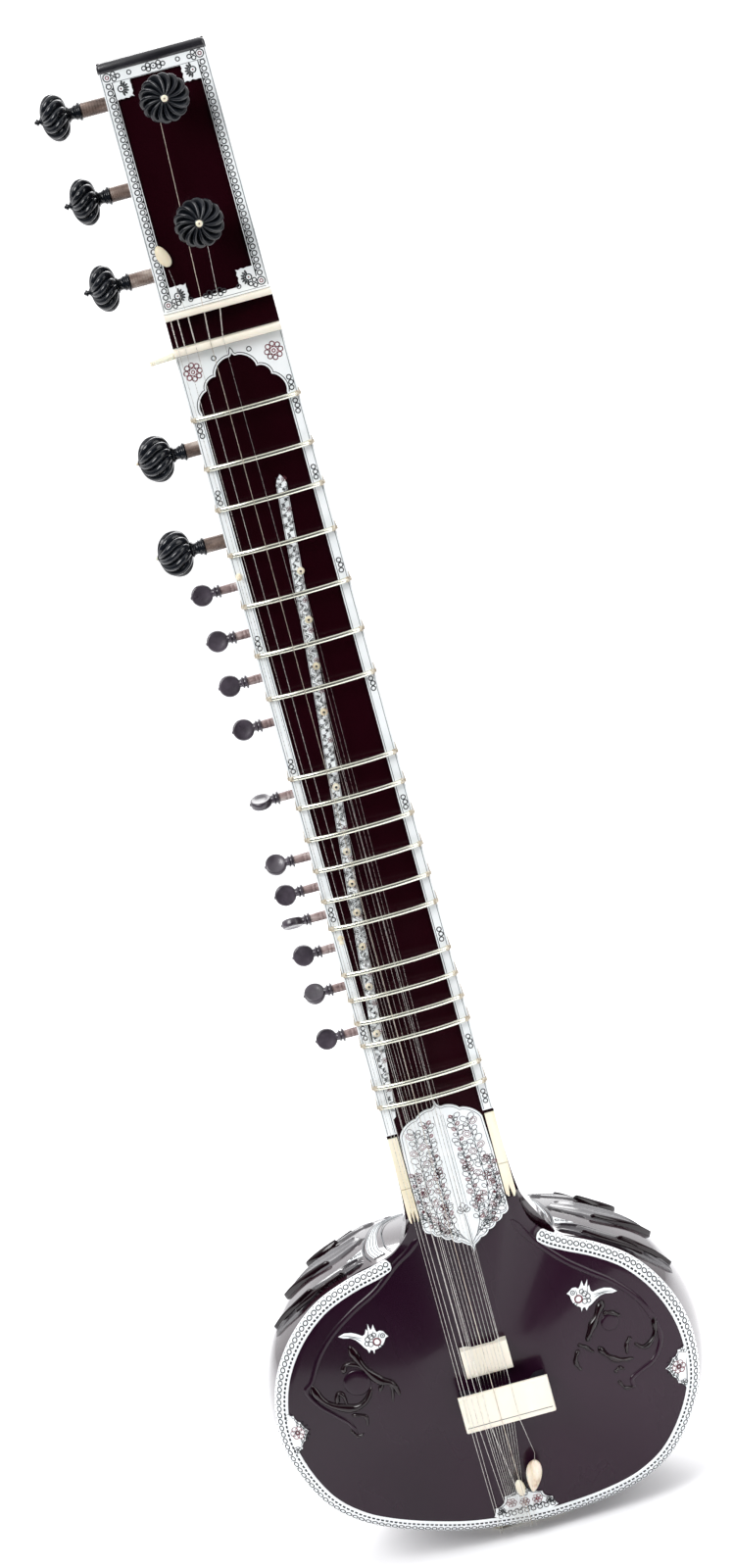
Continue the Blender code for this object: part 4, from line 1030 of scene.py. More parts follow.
def cartouche():
    """The engraved plate over the joint of neck and soundboard."""
    upper = [(0.0, 0.6432), (0.0011, 0.6466), (0.0030, 0.6486)]
    upper += lobed([(0.0044, 0.6492), (0.0186, 0.6543), (0.0350, 0.6664)], (0.13, 0.14))
    upper.append((0.0362, 0.6950))
    lower = lobed(
        [(0.0392, 0.7405), (0.0362, 0.7470), (0.0300, 0.7518), (0.0232, 0.7566), (0.0158, 0.7612),
         (0.0082, 0.7660), (0.0022, 0.7706)],
        (0.24, 0.22, 0.20, 0.20, 0.18, 0.06),
    )
    half = upper + lower + [(0.0008, 0.7735), (0.0, 0.7772)]
    outline = half + [(-x, s) for x, s in reversed(half[1:-1])]
    outline = [(min(max(x, -0.0362), 0.0362), s) for x, s in outline]
    piece = Piece()
    piece.plate([outline], 0.0, SKIN, bevel=0.0003)
    make("cartouche_sheet", piece, SHEET, nodes=("cartouche",))
    ink, line, rose = Ink(flat(), 1.15), Ink(flat(), 1.15), Ink(flat(), 1.15)
    count = len(outline)
    rim = []
    for i, (x, s) in enumerate(outline):
        a, b = outline[i - 1], outline[(i + 1) % count]
        dx, ds = b[0] - a[0], b[1] - a[1]
        n = hypot(dx, ds) or 1.0
        rim.append((x - ds / n * 0.0016, s + dx / n * 0.0016))
    line.strip(rim, 0.00042, closed=True)
    for x in (-0.0040, -0.0010, 0.0016, 0.0040):
        line.strip([(x, 0.6560), (x, 0.7350)], 0.00022)

    def spray(path, size, blossoms=(), bare=0.10, seed=0):
        """A stem with rounded leaves in pairs and a few blossoms among them."""
        path = spline(path, 8)
        line.strip(path, 0.00050)
        length = sum(hypot(b[0] - a[0], b[1] - a[1]) for a, b in zip(path, path[1:]))
        done, gap, turn = 0.0, length * bare, seed
        for a, b in zip(path, path[1:]):
            step = hypot(b[0] - a[0], b[1] - a[1])
            done += step
            if done < gap:
                continue
            gap = done + size * 0.62
            turn += 1
            along = atan2(b[1] - a[1], b[0] - a[0])
            for side in (-1, 1):
                lean = along + side * (0.95 + 0.22 * sin(turn * 2.1 + side))
                reach = size * (0.86 + 0.22 * sin(turn * 1.7 + side * 1.3))
                x, s = b[0] + cos(lean) * reach * 0.85, b[1] + sin(lean) * reach * 0.85
                tone = rose if (turn + side) % 7 in blossoms else ink
                petal(tone, x, s, reach * 0.62, reach * 0.44, lean)
                if tone is rose:
                    petal(tone, x, s, reach * 0.34, reach * 0.24, lean)
                ink.disc(b[0] + cos(lean - side * 0.5) * reach * 0.42,
                         b[1] + sin(lean - side * 0.5) * reach * 0.42, 0.00055, 7)

    def petal(tone, x, s, long, wide, angle):
        ca, sa = cos(angle), sin(angle)
        tone.strip([
            (x + ca * long * cos(a) - sa * wide * sin(a), s + sa * long * cos(a) + ca * wide * sin(a))
            for a in (2 * pi * k / 12 for k in range(12))
        ], 0.00042, closed=True)

    for side in (-1, 1):
        for stem, reach, blooms, sway, seed in (
            (((0.0012, 0.7680), (0.0085, 0.7590), (0.0190, 0.7480), (0.0240, 0.7260), (0.0240, 0.7000),
              (0.0225, 0.6640)), 0.0056, (2, 5), 0.16, side + 3),
            (((0.0062, 0.7615), (0.0118, 0.7470), (0.0128, 0.7200), (0.0122, 0.6900), (0.0112, 0.6590)),
             0.0044, (1, 4), 0.12, side + 8),
            (((0.0180, 0.7500), (0.0278, 0.7440), (0.0345, 0.7360)), 0.0046, (3,), 0.15, 1),
            (((0.0270, 0.7440), (0.0318, 0.7240), (0.0315, 0.7000)), 0.0036, (2, 6), 0.12, 4),
            (((0.0050, 0.7640), (0.0150, 0.7560), (0.0235, 0.7515)), 0.0036, (5,), 0.2, 6),
        ):
            spray([(side * x, s) for x, s in stem], reach, blooms, sway, seed=seed)
        for x, s in ((0.0120, 0.7040), (0.0260, 0.7160), (0.0150, 0.7340)):
            rose.flower(side * x, s, 0.0040, 5, 0.00045, turn=side * x * 40)
    for lean, long in ((-0.5, 0.0040), (0.5, 0.0040), (0.0, 0.0052), (-1.1, 0.0036), (1.1, 0.0036)):
        angle = -pi / 2 + lean
        petal(ink, cos(angle) * long, 0.7420 + sin(angle) * long, long * 0.72, long * 0.42, angle)
    line.strip([(0.0, 0.7700), (0.0004, 0.7540), (0.0, 0.7430)], 0.00050)
    for k in range(5):
        angle = -pi / 2 + (k - 2) * 0.32
        line.strip([(0.0, 0.7695), (cos(angle) * 0.0125, 0.7695 + sin(angle) * 0.0125)], 0.00045, taper=True)
    ink.make("cartouche_engraving", INK)
    line.make("cartouche_lines", LINE_INK)
    rose.make("cartouche_blossoms", ROSE_INK)


def heel_strips():
    """The bone covers at the heel's edges, which end in fingers."""
    for name, side, fingers in (("heel_strip_bass", -1, 3), ("heel_strip_treble", 1, 2)):
        low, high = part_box(name)
        top, end = NUT - high.z, NUT - low.z
        inner, outer = min(abs(low.x), abs(high.x)), max(abs(low.x), abs(high.x))
        seam = mix(top, end, 0.60)
        for part, (a, b) in enumerate(((top, seam - 0.0002), (seam + 0.0002, end))):
            wa = mix(half_width(top), outer, (a - top) / (end - top))
            wb = mix(half_width(top), outer, (b - top) / (end - top))
            path = [(side * inner, a), (side * wa, a), (side * wb, b - (0.004 if part else 0))]
            if part:
                for k in range(fingers):
                    left = mix(wb, inner, k / fingers)
                    right = mix(wb, inner, (k + 1) / fingers)
                    tip = b - 0.0010 * (k % 2)
                    path.append((side * mix(left, right, 0.35), tip))
                    path.append((side * mix(left, right, 0.65), tip))
                    if k < fingers - 1:
                        path.append((side * right, b - 0.011))
            path.append((side * inner, b - (0.004 if part else 0)))
            piece = Piece()
            piece.plate([path], -0.0004, SKIN, bevel=0.0006)
            nodes = (name,) if part else ()
            make("%s_%s" % (name, "fingers" if part else "upper"), piece, BONE, nodes=nodes)


def nut_thread():
    """The twisted thread tail that stands out of the nut's bass end."""
    low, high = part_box("nut")
    piece = Piece()
    for turn in (0.0, 2 * pi / 3, 4 * pi / 3):
        path = []
        for i in range(70):
            t = i / 69
            a = turn + t * 2 * pi * 4
            r = 0.0015 * (1 - 0.35 * t)
            path.append(Vector((low.x - 0.0005 - 0.019 * t, low.y + 0.0040 + r * cos(a) + 0.003 * t,
                                (low.z + high.z) / 2 - 0.0012 + r * sin(a) - 0.0020 * t)))
        piece.tube(path, lambda t: 0.0015 * (1 - 0.35 * t), sides=7)
    make("nut_thread", piece, BONE, smooth=60)


def recess_floor():
    """Give the head's and the neck's CAD panels the dark lacquer, as they show in the recess at the nut."""
    for node in ("head_panel", "neck_panel"):
        panel = frame["nodes"][node]
        panel.data.materials.clear()
        panel.data.materials.append(LACQUER)


neck_body()
head_cap()
head_border()
string_eyelet()
PLAYED_NUT = (-0.0391, -0.0335, -0.0251, -0.0133, -0.0029)
bar("nut_bar", "nut", round_over=0.0026, notches=PLAYED_NUT)
bar("string_guide_bar", "string_guide", round_over=0.0020)
neck_binding()
drone_posts()
grommet_strip()
cartouche()
heel_strips()
nut_thread()
recess_floor()


# ---------------------------------------------------------------- body
def soundboard():
    """The crowned soundboard with its bevelled rim, and the flat back that closes the gourd."""
    piece = Piece()

    def ring(line, share, lift):
        points = []
        for x, s in line:
            px, ps = mix(CX, x, share), mix(CS, s, share)
            points.append(P(px, ps, crown(share, s) + lift))
        return points

    closed = INNER + [(mix(INNER[-1][0], INNER[0][0], k / 12), BOARD_TOP) for k in range(1, 12)]
    outer = OUTER + [(mix(OUTER[-1][0], OUTER[0][0], k / 12), BOARD_TOP) for k in range(1, 12)]
    shares = [0.02] + [k / 30 for k in range(1, 31)]
    front = [ring(closed, share, 0.0) for share in shares]
    rounded = []
    for t in (0.25, 0.5, 0.75, 0.92, 1.0):
        line = []
        for (ix, ins), (ox, os) in zip(closed, outer):
            s = mix(ins, os, t)
            d = mix(edge_depth(ins), bevel_depth(os), t ** 1.25)
            line.append(P(mix(ix, ox, t), s, d))
        rounded.append(line)
    skirt = [[P(x, s, bevel_depth(s) + PANEL) for x, s in outer]]
    back = [ring(closed, share, PANEL) for share in (1.0, 0.6, 0.02)]
    piece.skin(front + rounded + skirt + back)
    make("soundboard_crowned", piece, BOARD_LACQUER, nodes=("soundboard",),
         smooth=30)


def edge_chart():
    """A chart along the rim: u is the distance along it, v runs from the inner edge (0) outwards (1)."""
    lengths = [0.0]
    for a, b in zip(INNER, INNER[1:]):
        lengths.append(lengths[-1] + hypot(b[0] - a[0], b[1] - a[1]))
    total = lengths[-1]

    def chart(u, v, lift=0.0):
        u = min(max(u, 0.0), total - 1e-9)
        low, high = 0, len(lengths) - 1
        while high - low > 1:
            middle = (low + high) // 2
            if lengths[middle] <= u:
                low = middle
            else:
                high = middle
        t = (u - lengths[low]) / max(lengths[low + 1] - lengths[low], 1e-9)
        ix, ins = (mix(a, b, t) for a, b in zip(INNER[low], INNER[low + 1]))
        ox, os = (mix(a, b, t) for a, b in zip(OUTER[low], OUTER[low + 1]))
        near = P(ix, ins, edge_depth(ins))
        far = P(ox, os, bevel_depth(os))
        across = far - near
        out = Vector((ox - ix, 0.0, ins - os)).normalized()
        normal = (Vector((0, -1, 0)) * RIM_WIDTH + out * RIM_FALL).normalized()
        bulge = 0.0011 * sin(pi * min(max(v, 0.0), 1.0)) ** 0.7
        return near + across * v + normal * (lift + bulge)

    return chart, total


def edge_band():
    """The engraved band round the soundboard; the pointed ornament on each side is made by side_ornament."""
    chart, total = edge_chart()
    # both ends stop short of the neck, at the shoulders
    start, end = 0.045, total - 0.045
    steps = 620
    piece = Piece()
    profile = [(-0.06, 0.0002), (-0.04, 0.0010), (0.0, 0.0013), (0.2, 0.0014), (0.4, 0.0014), (0.6, 0.0014),
               (0.8, 0.0013), (1.0, 0.0008), (1.07, 0.0002)]
    rings = []
    for i in range(steps + 1):
        u = mix(start, end, i / steps)
        near_end = min((u - start) / 0.0045, (end - u) / 0.0045, 1.0)
        squeeze = (1 - (1 - near_end) ** 2) ** 0.5 if near_end < 1 else 1.0
        squeeze = max(squeeze, 0.06)
        ring = []
        for v, lift in profile:
            ring.append(chart(u, 0.5 + (v - 0.5) * squeeze, lift))
        for v, _ in reversed(profile):
            ring.append(chart(u, 0.5 + (v - 0.5) * squeeze, -0.0004))
        rings.append(ring)
    piece.skin(rings)
    make("edge_band", piece, SHEET, nodes=("edge_binding",), smooth=50)
    width = hypot(RIM_WIDTH, RIM_FALL)
    ink = Ink(lambda u, v: chart(u, v / width, 0.00150), 1.9)
    line = Ink(lambda u, v: chart(u, v / width, 0.00150))
    first, last = start + 0.004, end - 0.004
    count = round((last - first) / 0.0055)
    for i in range(count + 1):
        u = mix(first, last, i / count)
        ink.ring(u, width * 0.56, 0.0021, 0.00050, 14)
        line.disc(u + (last - first) / count / 2, width * 0.91, 0.00060, 6)
    count = round((last - first) / 0.0038)
    for i in range(count + 1):
        u = mix(first, last, i / count)
        ink.polygon([(u - 0.0013, width * 0.06), (u + 0.0013, width * 0.06),
                     (u + 0.0011, width * 0.20), (u - 0.0011, width * 0.20)])
    ink.make("edge_band_engraving", INK)
    line.make("edge_band_dots", LINE_INK)


def side_ornament(name, tip, high, low):
    """A scalloped ornament that points in from the band."""
    mid = ((high[0] + low[0]) / 2, (high[1] + low[1]) / 2)

    def between(a, b, t, push):
        x, s = mix(a[0], b[0], t), mix(a[1], b[1], t)
        return x + (tip[0] - mid[0]) * push, s + (tip[1] - mid[1]) * push

    upper = [high, between(high, tip, 0.30, 0.10), between(high, tip, 0.62, 0.05), tip]
    lower = [tip, between(low, tip, 0.62, 0.05), between(low, tip, 0.30, 0.10), low]
    sign = 1 if tip[0] > mid[0] else -1
    bulge = -0.16 * sign
    outline = lobed(upper, (bulge, bulge, bulge * 0.6), 6) + lobed(lower, (bulge * 0.6, bulge, bulge), 6)[1:]
    piece = Piece()
    piece.plate([outline], -0.0010, 0.0006, bevel=0.0002, place=board_place)
    make(name, piece, SHEET)
    ink = board_ink(0.00108)
    rose = board_ink(0.00108)
    inner_x, inner_s = mix(mid[0], tip[0], 0.3), mix(mid[1], tip[1], 0.3)
    rim = [(mix(x, inner_x, 0.13), mix(s, inner_s, 0.13)) for x, s in outline]
    ink.strip(rim, 0.00034)
    fx, fs = mix(mid[0], tip[0], 0.36), mix(mid[1], tip[1], 0.36)
    rose.flower(fx, fs, 0.0058, 6, 0.00040)
    ink.ring(fx, fs, 0.0020, 0.00036)
    for k in range(7):
        angle = atan2(tip[1] - mid[1], tip[0] - mid[0]) + (k - 3) * 0.45
        ink.leaf(fx + cos(angle) * 0.0056, fs + sin(angle) * 0.0056, 0.0050, angle, 0.00028)
    for end in (high, low):
        ink.flower(mix(end[0], fx, 0.30), mix(end[1], fs, 0.30), 0.0030, 5, 0.00028)
    ink.make(name + "_engraving", INK)
    rose.make(name + "_blossoms", ROSE_INK)


def bird(name, beak, tail, feet):
    """A small inlaid bird, drawn between its beak and the end of its tail."""
    ux, us = tail[0] - beak[0], tail[1] - beak[1]
    length = hypot(ux, us)
    ux, us = ux / length, us / length
    nx, ns = -us, ux
    if (feet[0] - beak[0]) * nx + (feet[1] - beak[1]) * ns < 0:
        nx, ns = -nx, -ns

    def lay(a, b):
        """a runs from beak to tail and b towards the feet, both in shares of the length."""
        return beak[0] + (ux * a + nx * b) * length, beak[1] + (us * a + ns * b) * length

    body = [
        (0.0, 0.02), (0.045, -0.02), (0.10, -0.085), (0.17, -0.10), (0.23, -0.07), (0.26, -0.13),
        (0.295, -0.23), (0.33, -0.13), (0.35, -0.12), (0.40, -0.25), (0.405, -0.10), (0.44, -0.14),
        (0.47, -0.03), (0.52, 0.00), (0.62, -0.045), (0.74, -0.075), (0.88, -0.065), (1.0, 0.0),
        (0.90, 0.035), (0.76, 0.035), (0.66, 0.075), (0.58, 0.145), (0.50, 0.235), (0.44, 0.28),
        (0.40, 0.36), (0.37, 0.29), (0.33, 0.30), (0.30, 0.375), (0.285, 0.29), (0.20, 0.26),
        (0.12, 0.19), (0.08, 0.11), (0.06, 0.055),
    ]
    outline = [lay(a, b) for a, b in body]
    piece = Piece()
    area = sum(p[0] * q[1] - q[0] * p[1] for p, q in zip(outline, outline[1:] + outline[:1]))
    if area < 0:
        outline = outline[::-1]
    piece.plate([outline], -0.0009, 0.0006, bevel=0.0003, place=board_place)
    make(name, piece, SHEET)
    ink = board_ink(0.00098)
    rose = board_ink(0.00098)
    ink.ring(*lay(0.115, 0.0), 0.0017, 0.00042)
    ink.disc(*lay(0.115, 0.0), 0.0006)
    rose.ring(*lay(0.235, 0.125), 0.0030, 0.00080)
    for a, b, r in ((0.35, 0.02, 0.0022), (0.42, 0.07, 0.0020), (0.36, 0.17, 0.0021), (0.29, -0.02, 0.0018),
                    (0.44, 0.16, 0.0017), (0.18, 0.22, 0.0013)):
        ink.ring(*lay(a, b), r, 0.00040, 12)
    for line in (((0.52, 0.05), (0.66, 0.015), (0.80, -0.01), (0.94, -0.012)),
                 ((0.54, 0.10), (0.66, 0.04), (0.80, 0.012)), ((0.30, -0.10), (0.33, -0.02), (0.38, 0.03)),
                 ((0.40, -0.12), (0.41, -0.02), (0.45, 0.05)), ((0.16, -0.06), (0.20, 0.02), (0.19, 0.10))):
        ink.strip(spline([lay(a, b) for a, b in line], 5), 0.00034, taper=True)
    ink.make(name + "_engraving", INK)
    rose.make(name + "_blossom", ROSE_INK)


RELIEF_SINK = 0.0003


def relief(piece, path, width, height, taper):
    """A half-round moulding laid on the soundboard along a path of (x, station)."""
    count = len(path)
    rings = []
    for i, (x, s) in enumerate(path):
        a, b = path[max(i - 1, 0)], path[min(i + 1, count - 1)]
        dx, ds = b[0] - a[0], b[1] - a[1]
        n = hypot(dx, ds) or 1.0
        t = i / (count - 1)
        swell = 1.0
        swell = min(swell, max(t / taper[0], 0.0) ** 0.6)
        swell = min(swell, max((1 - t) / taper[1], 0.0) ** 0.6)
        w = (width(t) if callable(width) else width) * max(swell, 0.05)
        h = (height(t) if callable(height) else height) * max(swell, 0.05)
        ring = []
        for k in range(9):
            c = -1 + 2 * k / 8
            px, ps = x - ds / n * c * w / 2, s + dx / n * c * w / 2
            ring.append(on_board(px, ps, h * (1 - c * c) ** 0.8 - RELIEF_SINK))
        rings.append(ring)
    low = [[p + Vector((0, 0.0008, 0)) for p in (ring[0], ring[-1])] for ring in rings]
    closed = [ring + pair[::-1] for ring, pair in zip(rings, low)]
    piece.skin(closed)


def dome(piece, x, s, radius, height):
    """A low round boss on the soundboard."""
    rings = []
    for share, lift in ((1.0, -0.0005), (0.97, 0.5), (0.88, 0.85), (0.7, 1.0), (0.35, 1.0), (0.05, 1.0)):
        rings.append([
            on_board(x + radius * share * cos(2 * pi * k / 32), s + radius * share * sin(2 * pi * k / 32),
                     lift * height if lift > 0 else lift)
            for k in range(32)
        ])
    piece.skin(rings)


def rim_scrolls():
    """The raised line inside each shoulder, which curls into a carved scroll under each bird.

    Paths are in millimetres, across the neck and down from the nut. Their points were traced and then mapped
    onto the soundboard by a helper program, so they aren't worked out from the frame.
    """
    sides = {
        "bass": (
            [(-43, 755), (-52, 764), (-67, 774), (-87, 790), (-111, 803), (-132, 818), (-148, 835),
             (-159, 854), (-166, 862), (-159, 876), (-147, 888), (-138, 897), (-134, 908)],
            (-123, 863, 11.5),
            (([(-160, 857), (-158, 867), (-151, 876), (-140, 882), (-129, 884), (-119, 879), (-112, 869)],
              7.0, 3.2),
             ([(-121, 830), (-118, 842), (-112, 855), (-104, 865), (-95, 870), (-91, 882)], 7.5, 3.4),
             ([(-132, 853), (-128, 846), (-119, 848), (-113, 855)], 5.0, 2.6),
             ([(-144, 879), (-141, 869), (-137, 872), (-136, 882)], 4.2, 2.8),
             ([(-107, 875), (-101, 867), (-96, 872), (-98, 886)], 4.0, 2.2),
             ([(-135, 890), (-124, 893), (-124, 902)], 3.6, 2.0),
             ([(-139, 902), (-135, 909), (-128, 908)], 3.2, 1.6)),
        ),
        "treble": (
            [(35, 759), (46, 780), (67, 806), (86, 823), (104, 838), (120, 858), (129, 880), (131, 898),
             (122, 913), (109, 919), (99, 924), (100, 933)],
            (93, 870, 7.5),
            (([(129, 876), (128, 890), (121, 899), (114, 900), (108, 894)], 4.6, 2.8),
             ([(107, 888), (102, 893), (100, 902)], 3.6, 2.4),
             ([(78, 887), (84, 897), (92, 904), (105, 907)], 5.0, 3.0),
             ([(92, 850), (84, 861), (77, 870), (70, 880)], 7.0, 3.4),
             ([(62, 880), (68, 884), (74, 891)], 3.4, 2.2),
             ([(62, 884), (57, 893), (60, 903)], 4.0, 2.4),
             ([(89, 861), (96, 863), (103, 868)], 4.4, 2.6),
             ([(86, 914), (91, 911), (95, 914)], 3.4, 2.0),
             ([(87, 921), (92, 930), (101, 931)], 3.2, 1.6)),
        ),
    }
    for name, (ridge, boss, arms) in sides.items():
        piece = Piece()
        path = spline([(x / 1000, s / 1000) for x, s in ridge], 12)
        relief(piece, path, lambda t: 0.0068 - 0.0026 * t, lambda t: 0.0013 + 0.0003 * t, taper=(0.04, 0.04))
        dome(piece, boss[0] / 1000, boss[1] / 1000, boss[2] / 1000, 0.0012)
        make("carved_ridge_" + name, piece, BOARD_LACQUER, smooth=60)
        scroll = Piece()
        for line, width, height in arms:
            relief(scroll, spline([(x / 1000, s / 1000) for x, s in line], 10),
                   lambda t, w=width: w / 1000 * (1 + 0.22 * sin(t * 14)), height / 1000, taper=(0.14, 0.20))
        make("carved_scroll_" + name, scroll, RELIEF_LACQUER, smooth=60)


def gourd():
    """The hollow gourd: smooth, open at the front."""
    piece = Piece()
    shares = [0.0, 0.01, 0.03] + [0.06 + 0.94 * (k / 40) for k in range(0, 40)] + [0.985, 0.995]
    shares = sorted(set(round(t, 4) for t in shares))
    outside = [gourd_ring(t) for t in shares]
    inside = [gourd_ring(t, -GOURD_WALL) for t in shares[::3]]
    deepest = SKIN + GAP + RIM_DROP + PANEL + GOURD_DEPTH
    openings = []
    for rings, grow in ((outside, 0.0), (inside, -GOURD_WALL)):
        loops = piece.skin(rings, caps=False)
        last = loops[-1]
        pole = piece.add([P(*body_place(GOURD_SHIFT, CENTRE), deepest + grow)])[0]
        for i, corner in enumerate(last):
            piece.face((corner, last[(i + 1) % len(last)], pole))
        openings.append(loops[0])
    outer, inner = openings
    for i in range(len(outer)):
        j = (i + 1) % len(outer)
        piece.face((outer[i], outer[j], inner[j], inner[i]))
    return make("gourd", piece, GOURD_LACQUER, nodes=("gourd_shell",), smooth=45)


def heel():
    """The collar that flares from the neck into the gourd's shoulder."""
    start = NECK_END
    stations = [
        (start, half_width(start), PANEL + SKIN, 1.00), (0.690, 0.0456, PANEL + SKIN, 1.02),
        (0.7150, 0.0462, PANEL + SKIN, 1.06), (0.7300, 0.0474, PANEL + SKIN, 1.12),
        (BOARD_TOP, 0.0490, PANEL + SKIN, 1.20), (0.7520, 0.0530, 0.0140, 1.32),
        (0.7660, 0.0590, 0.0210, 1.46), (0.7820, 0.0665, 0.0270, 1.62), (0.8000, 0.0740, 0.0340, 1.80),
    ]
    smooth = spline(stations, 5)
    piece = Piece()
    piece.skin([
        [P(x, s, top if abs(d - top) < 1e-9 else d * deep) for x, d in neck_profile(w, top=top)]
        for s, w, top, deep in smooth
    ])
    make("neck_heel_collar", piece, GOURD_LACQUER, nodes=("neck_heel",), smooth=45)


def tail():
    """The saddle block under the tail, and the lobed plate above it."""
    low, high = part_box("tailpiece")
    piece = Piece()
    rings = []
    count = 24
    for i in range(count + 1):
        x = mix(low.x, high.x, i / count)
        edge = min((x - low.x) / 0.006, (high.x - x) / 0.006, 1.0)
        ease = 0.006 * (1 - (1 - (1 - edge) ** 2) ** 0.5)
        y0, y1 = low.y + ease, high.y - ease
        z0, z1 = low.z, high.z + 0.012
        r = 0.004
        section = [Vector((x, y0, z1)), Vector((x, y0, z0 + r))]
        for k in range(1, 6):
            a = pi / 2 * k / 6
            section.append(Vector((x, y0 + r * (1 - cos(a)), z0 + r * (1 - sin(a)))))
        section.append(Vector((x, y0 + r, z0)))
        section.append(Vector((x, y1 - r, z0)))
        for k in range(1, 6):
            a = pi / 2 * k / 6
            section.append(Vector((x, y1 - r * (1 - sin(a)), z0 + r * (1 - cos(a)))))
        section.append(Vector((x, y1, z0 + r)))
        section.append(Vector((x, y1, z1)))
        rings.append(section)
    piece.skin(rings)
    make("tail_saddle", piece, BONE, nodes=("tailpiece",), smooth=45)
    low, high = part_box("tail_plate")
    end = NUT - low.z + 0.0015
    cusps = [(-0.0425, end - 0.004), (-0.0400, 1.0075), (-0.0298, 0.9975), (-0.0136, 0.9842),
             (0.0022, 1.0012),
             (0.0092, 1.0090), (0.0122, end - 0.001)]
    crownline = lobed(cusps, (-0.10, -0.22, -0.20, -0.20, -0.22, -0.10), 8)
    outline = crownline + [(0.0060, end + 0.002), (-0.0140, end + 0.0035), (-0.0350, end + 0.0005)]
    piece = Piece()
    piece.plate([outline], -0.0014, 0.0004, bevel=0.0003, place=board_place)
    make("tail_plate_lobed", piece, SHEET, nodes=("tail_plate",))
    ink = board_ink(0.00148)
    rose = board_ink(0.00148)
    inner = [(mix(x, -0.0140, 0.10), mix(s, 1.004, 0.10)) for x, s in crownline]
    ink.strip(inner, 0.00040)
    for x, s, r, kind in ((-0.014, 0.9960, 0.0052, 0), (-0.0255, 1.0050, 0.0044, 1),
                          (-0.0035, 1.0070, 0.0044, 1),
                          (-0.0145, 1.0070, 0.0042, 1), (-0.0350, 1.0105, 0.0030, 0),
                          (0.0060, 1.0115, 0.0030, 0)):
        (rose if kind else ink).flower(x, s, r, 6, 0.00034)
    for k in range(9):
        angle = -pi / 2 + (k - 4) * 0.42
        ink.leaf(-0.014 + cos(angle) * 0.0055, 0.9965 + sin(angle) * 0.0055, 0.0050, angle, 0.00030)
        x = mix(-0.0370, 0.0080, k / 8)
        ink.ring(x, end - 0.0030, 0.0020, 0.00045)
        ink.leaf(x - 0.0026, end - 0.0072, 0.0030, pi / 4, 0.00030)
        ink.leaf(x + 0.0026, end - 0.0072, 0.0030, 3 * pi / 4, 0.00030)
    ink.make("tail_plate_engraving", INK)
    rose.make("tail_plate_blossoms", ROSE_INK)


BRIDGE_ROWS = 30
ARCH_STEPS = 26
MAIN_NOTCHES = (-0.0410, -0.0388, -0.0345, -0.0298, -0.0248, -0.0150, -0.0002)


def string_notches(name, places, profile, y, z, segments):
    """Tiny studs where the strings cross a bridge, which stand for its notches."""
    studs = Piece()
    for x in places:
        studs.lathe(profile, axes(Vector((x, y, z)), (0, -1, 0)), segments)
    make(name, studs, BRIDGE_BONE)


def bridge_arch(low, high, foot_width, ease, height):
    """The underside of a bridge as (x, y): a foot at each end, lifted between them."""
    arch = []
    for i in range(ARCH_STEPS + 1):
        t = i / ARCH_STEPS
        foot = min(t, 1 - t) * (high.x - low.x)
        rise = smoothstep((foot - foot_width) / ease)
        arch.append((mix(low.x, high.x, t), mix(high.y, low.y + height, rise)))
    return arch


def main_bridge_top():
    """The bone top of the main bridge, with its pencil line and string notches."""
    low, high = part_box("main_bridge_plate")
    piece = Piece()
    rings = []
    for i in range(BRIDGE_ROWS + 1):
        t = i / BRIDGE_ROWS
        z = mix(high.z, low.z, t)
        crowned = 0.0005 * (1 - (2 * t - 1) ** 2)
        y = low.y + 0.0005 - crowned
        ease = 0.0010 * max(0.0, 1 - min(t, 1 - t) * BRIDGE_ROWS / 1.5)
        rings.append([
            Vector((low.x + 0.0006, y + 0.0005 + ease, z)), Vector((low.x + 0.0014, y + ease, z)),
            *[Vector((mix(low.x + 0.002, high.x - 0.002, k / 30), y + ease, z)) for k in range(31)],
            Vector((high.x - 0.0014, y + ease, z)), Vector((high.x - 0.0006, y + 0.0005 + ease, z)),
            Vector((high.x, high.y, z)), Vector((low.x, high.y, z)),
        ])
    piece.skin(rings)
    make("main_bridge_top", piece, BRIDGE_BONE, nodes=("main_bridge_plate",), smooth=40)
    line = Ink(lambda x, s: Vector((x, low.y + 0.0001, NUT - s)))
    pencil = NUT - low.z - 0.0048
    line.strip([(low.x + 0.002, pencil), (high.x - 0.002, pencil)], 0.00030)
    line.make("main_bridge_pencil_line", LINE_INK)
    stud = [(0.0, 0.0009), (0.0004, 0.0008), (0.0006, 0.0003)]
    string_notches("main_bridge_notches", MAIN_NOTCHES, stud, low.y + 0.0003, low.z + 0.0012, 12)


def main_bridge_body():
    """The dark feet under the main bridge's top."""
    low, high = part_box("main_bridge_feet")
    arch = bridge_arch(low, high, 0.006, 0.010, 0.0075)
    rings = []
    for z, shrink in ((high.z, 0.0006), (high.z - 0.0008, 0.0), (low.z + 0.0008, 0.0), (low.z, 0.0006)):
        top = [Vector((x, low.y + shrink, z)) for x, _ in arch]
        under = [Vector((x, y - shrink, z)) for x, y in reversed(arch)]
        rings.append(top + under)
    piece = Piece()
    piece.skin(rings)
    make("main_bridge_body", piece, EBONY, nodes=("main_bridge_feet",), smooth=30)


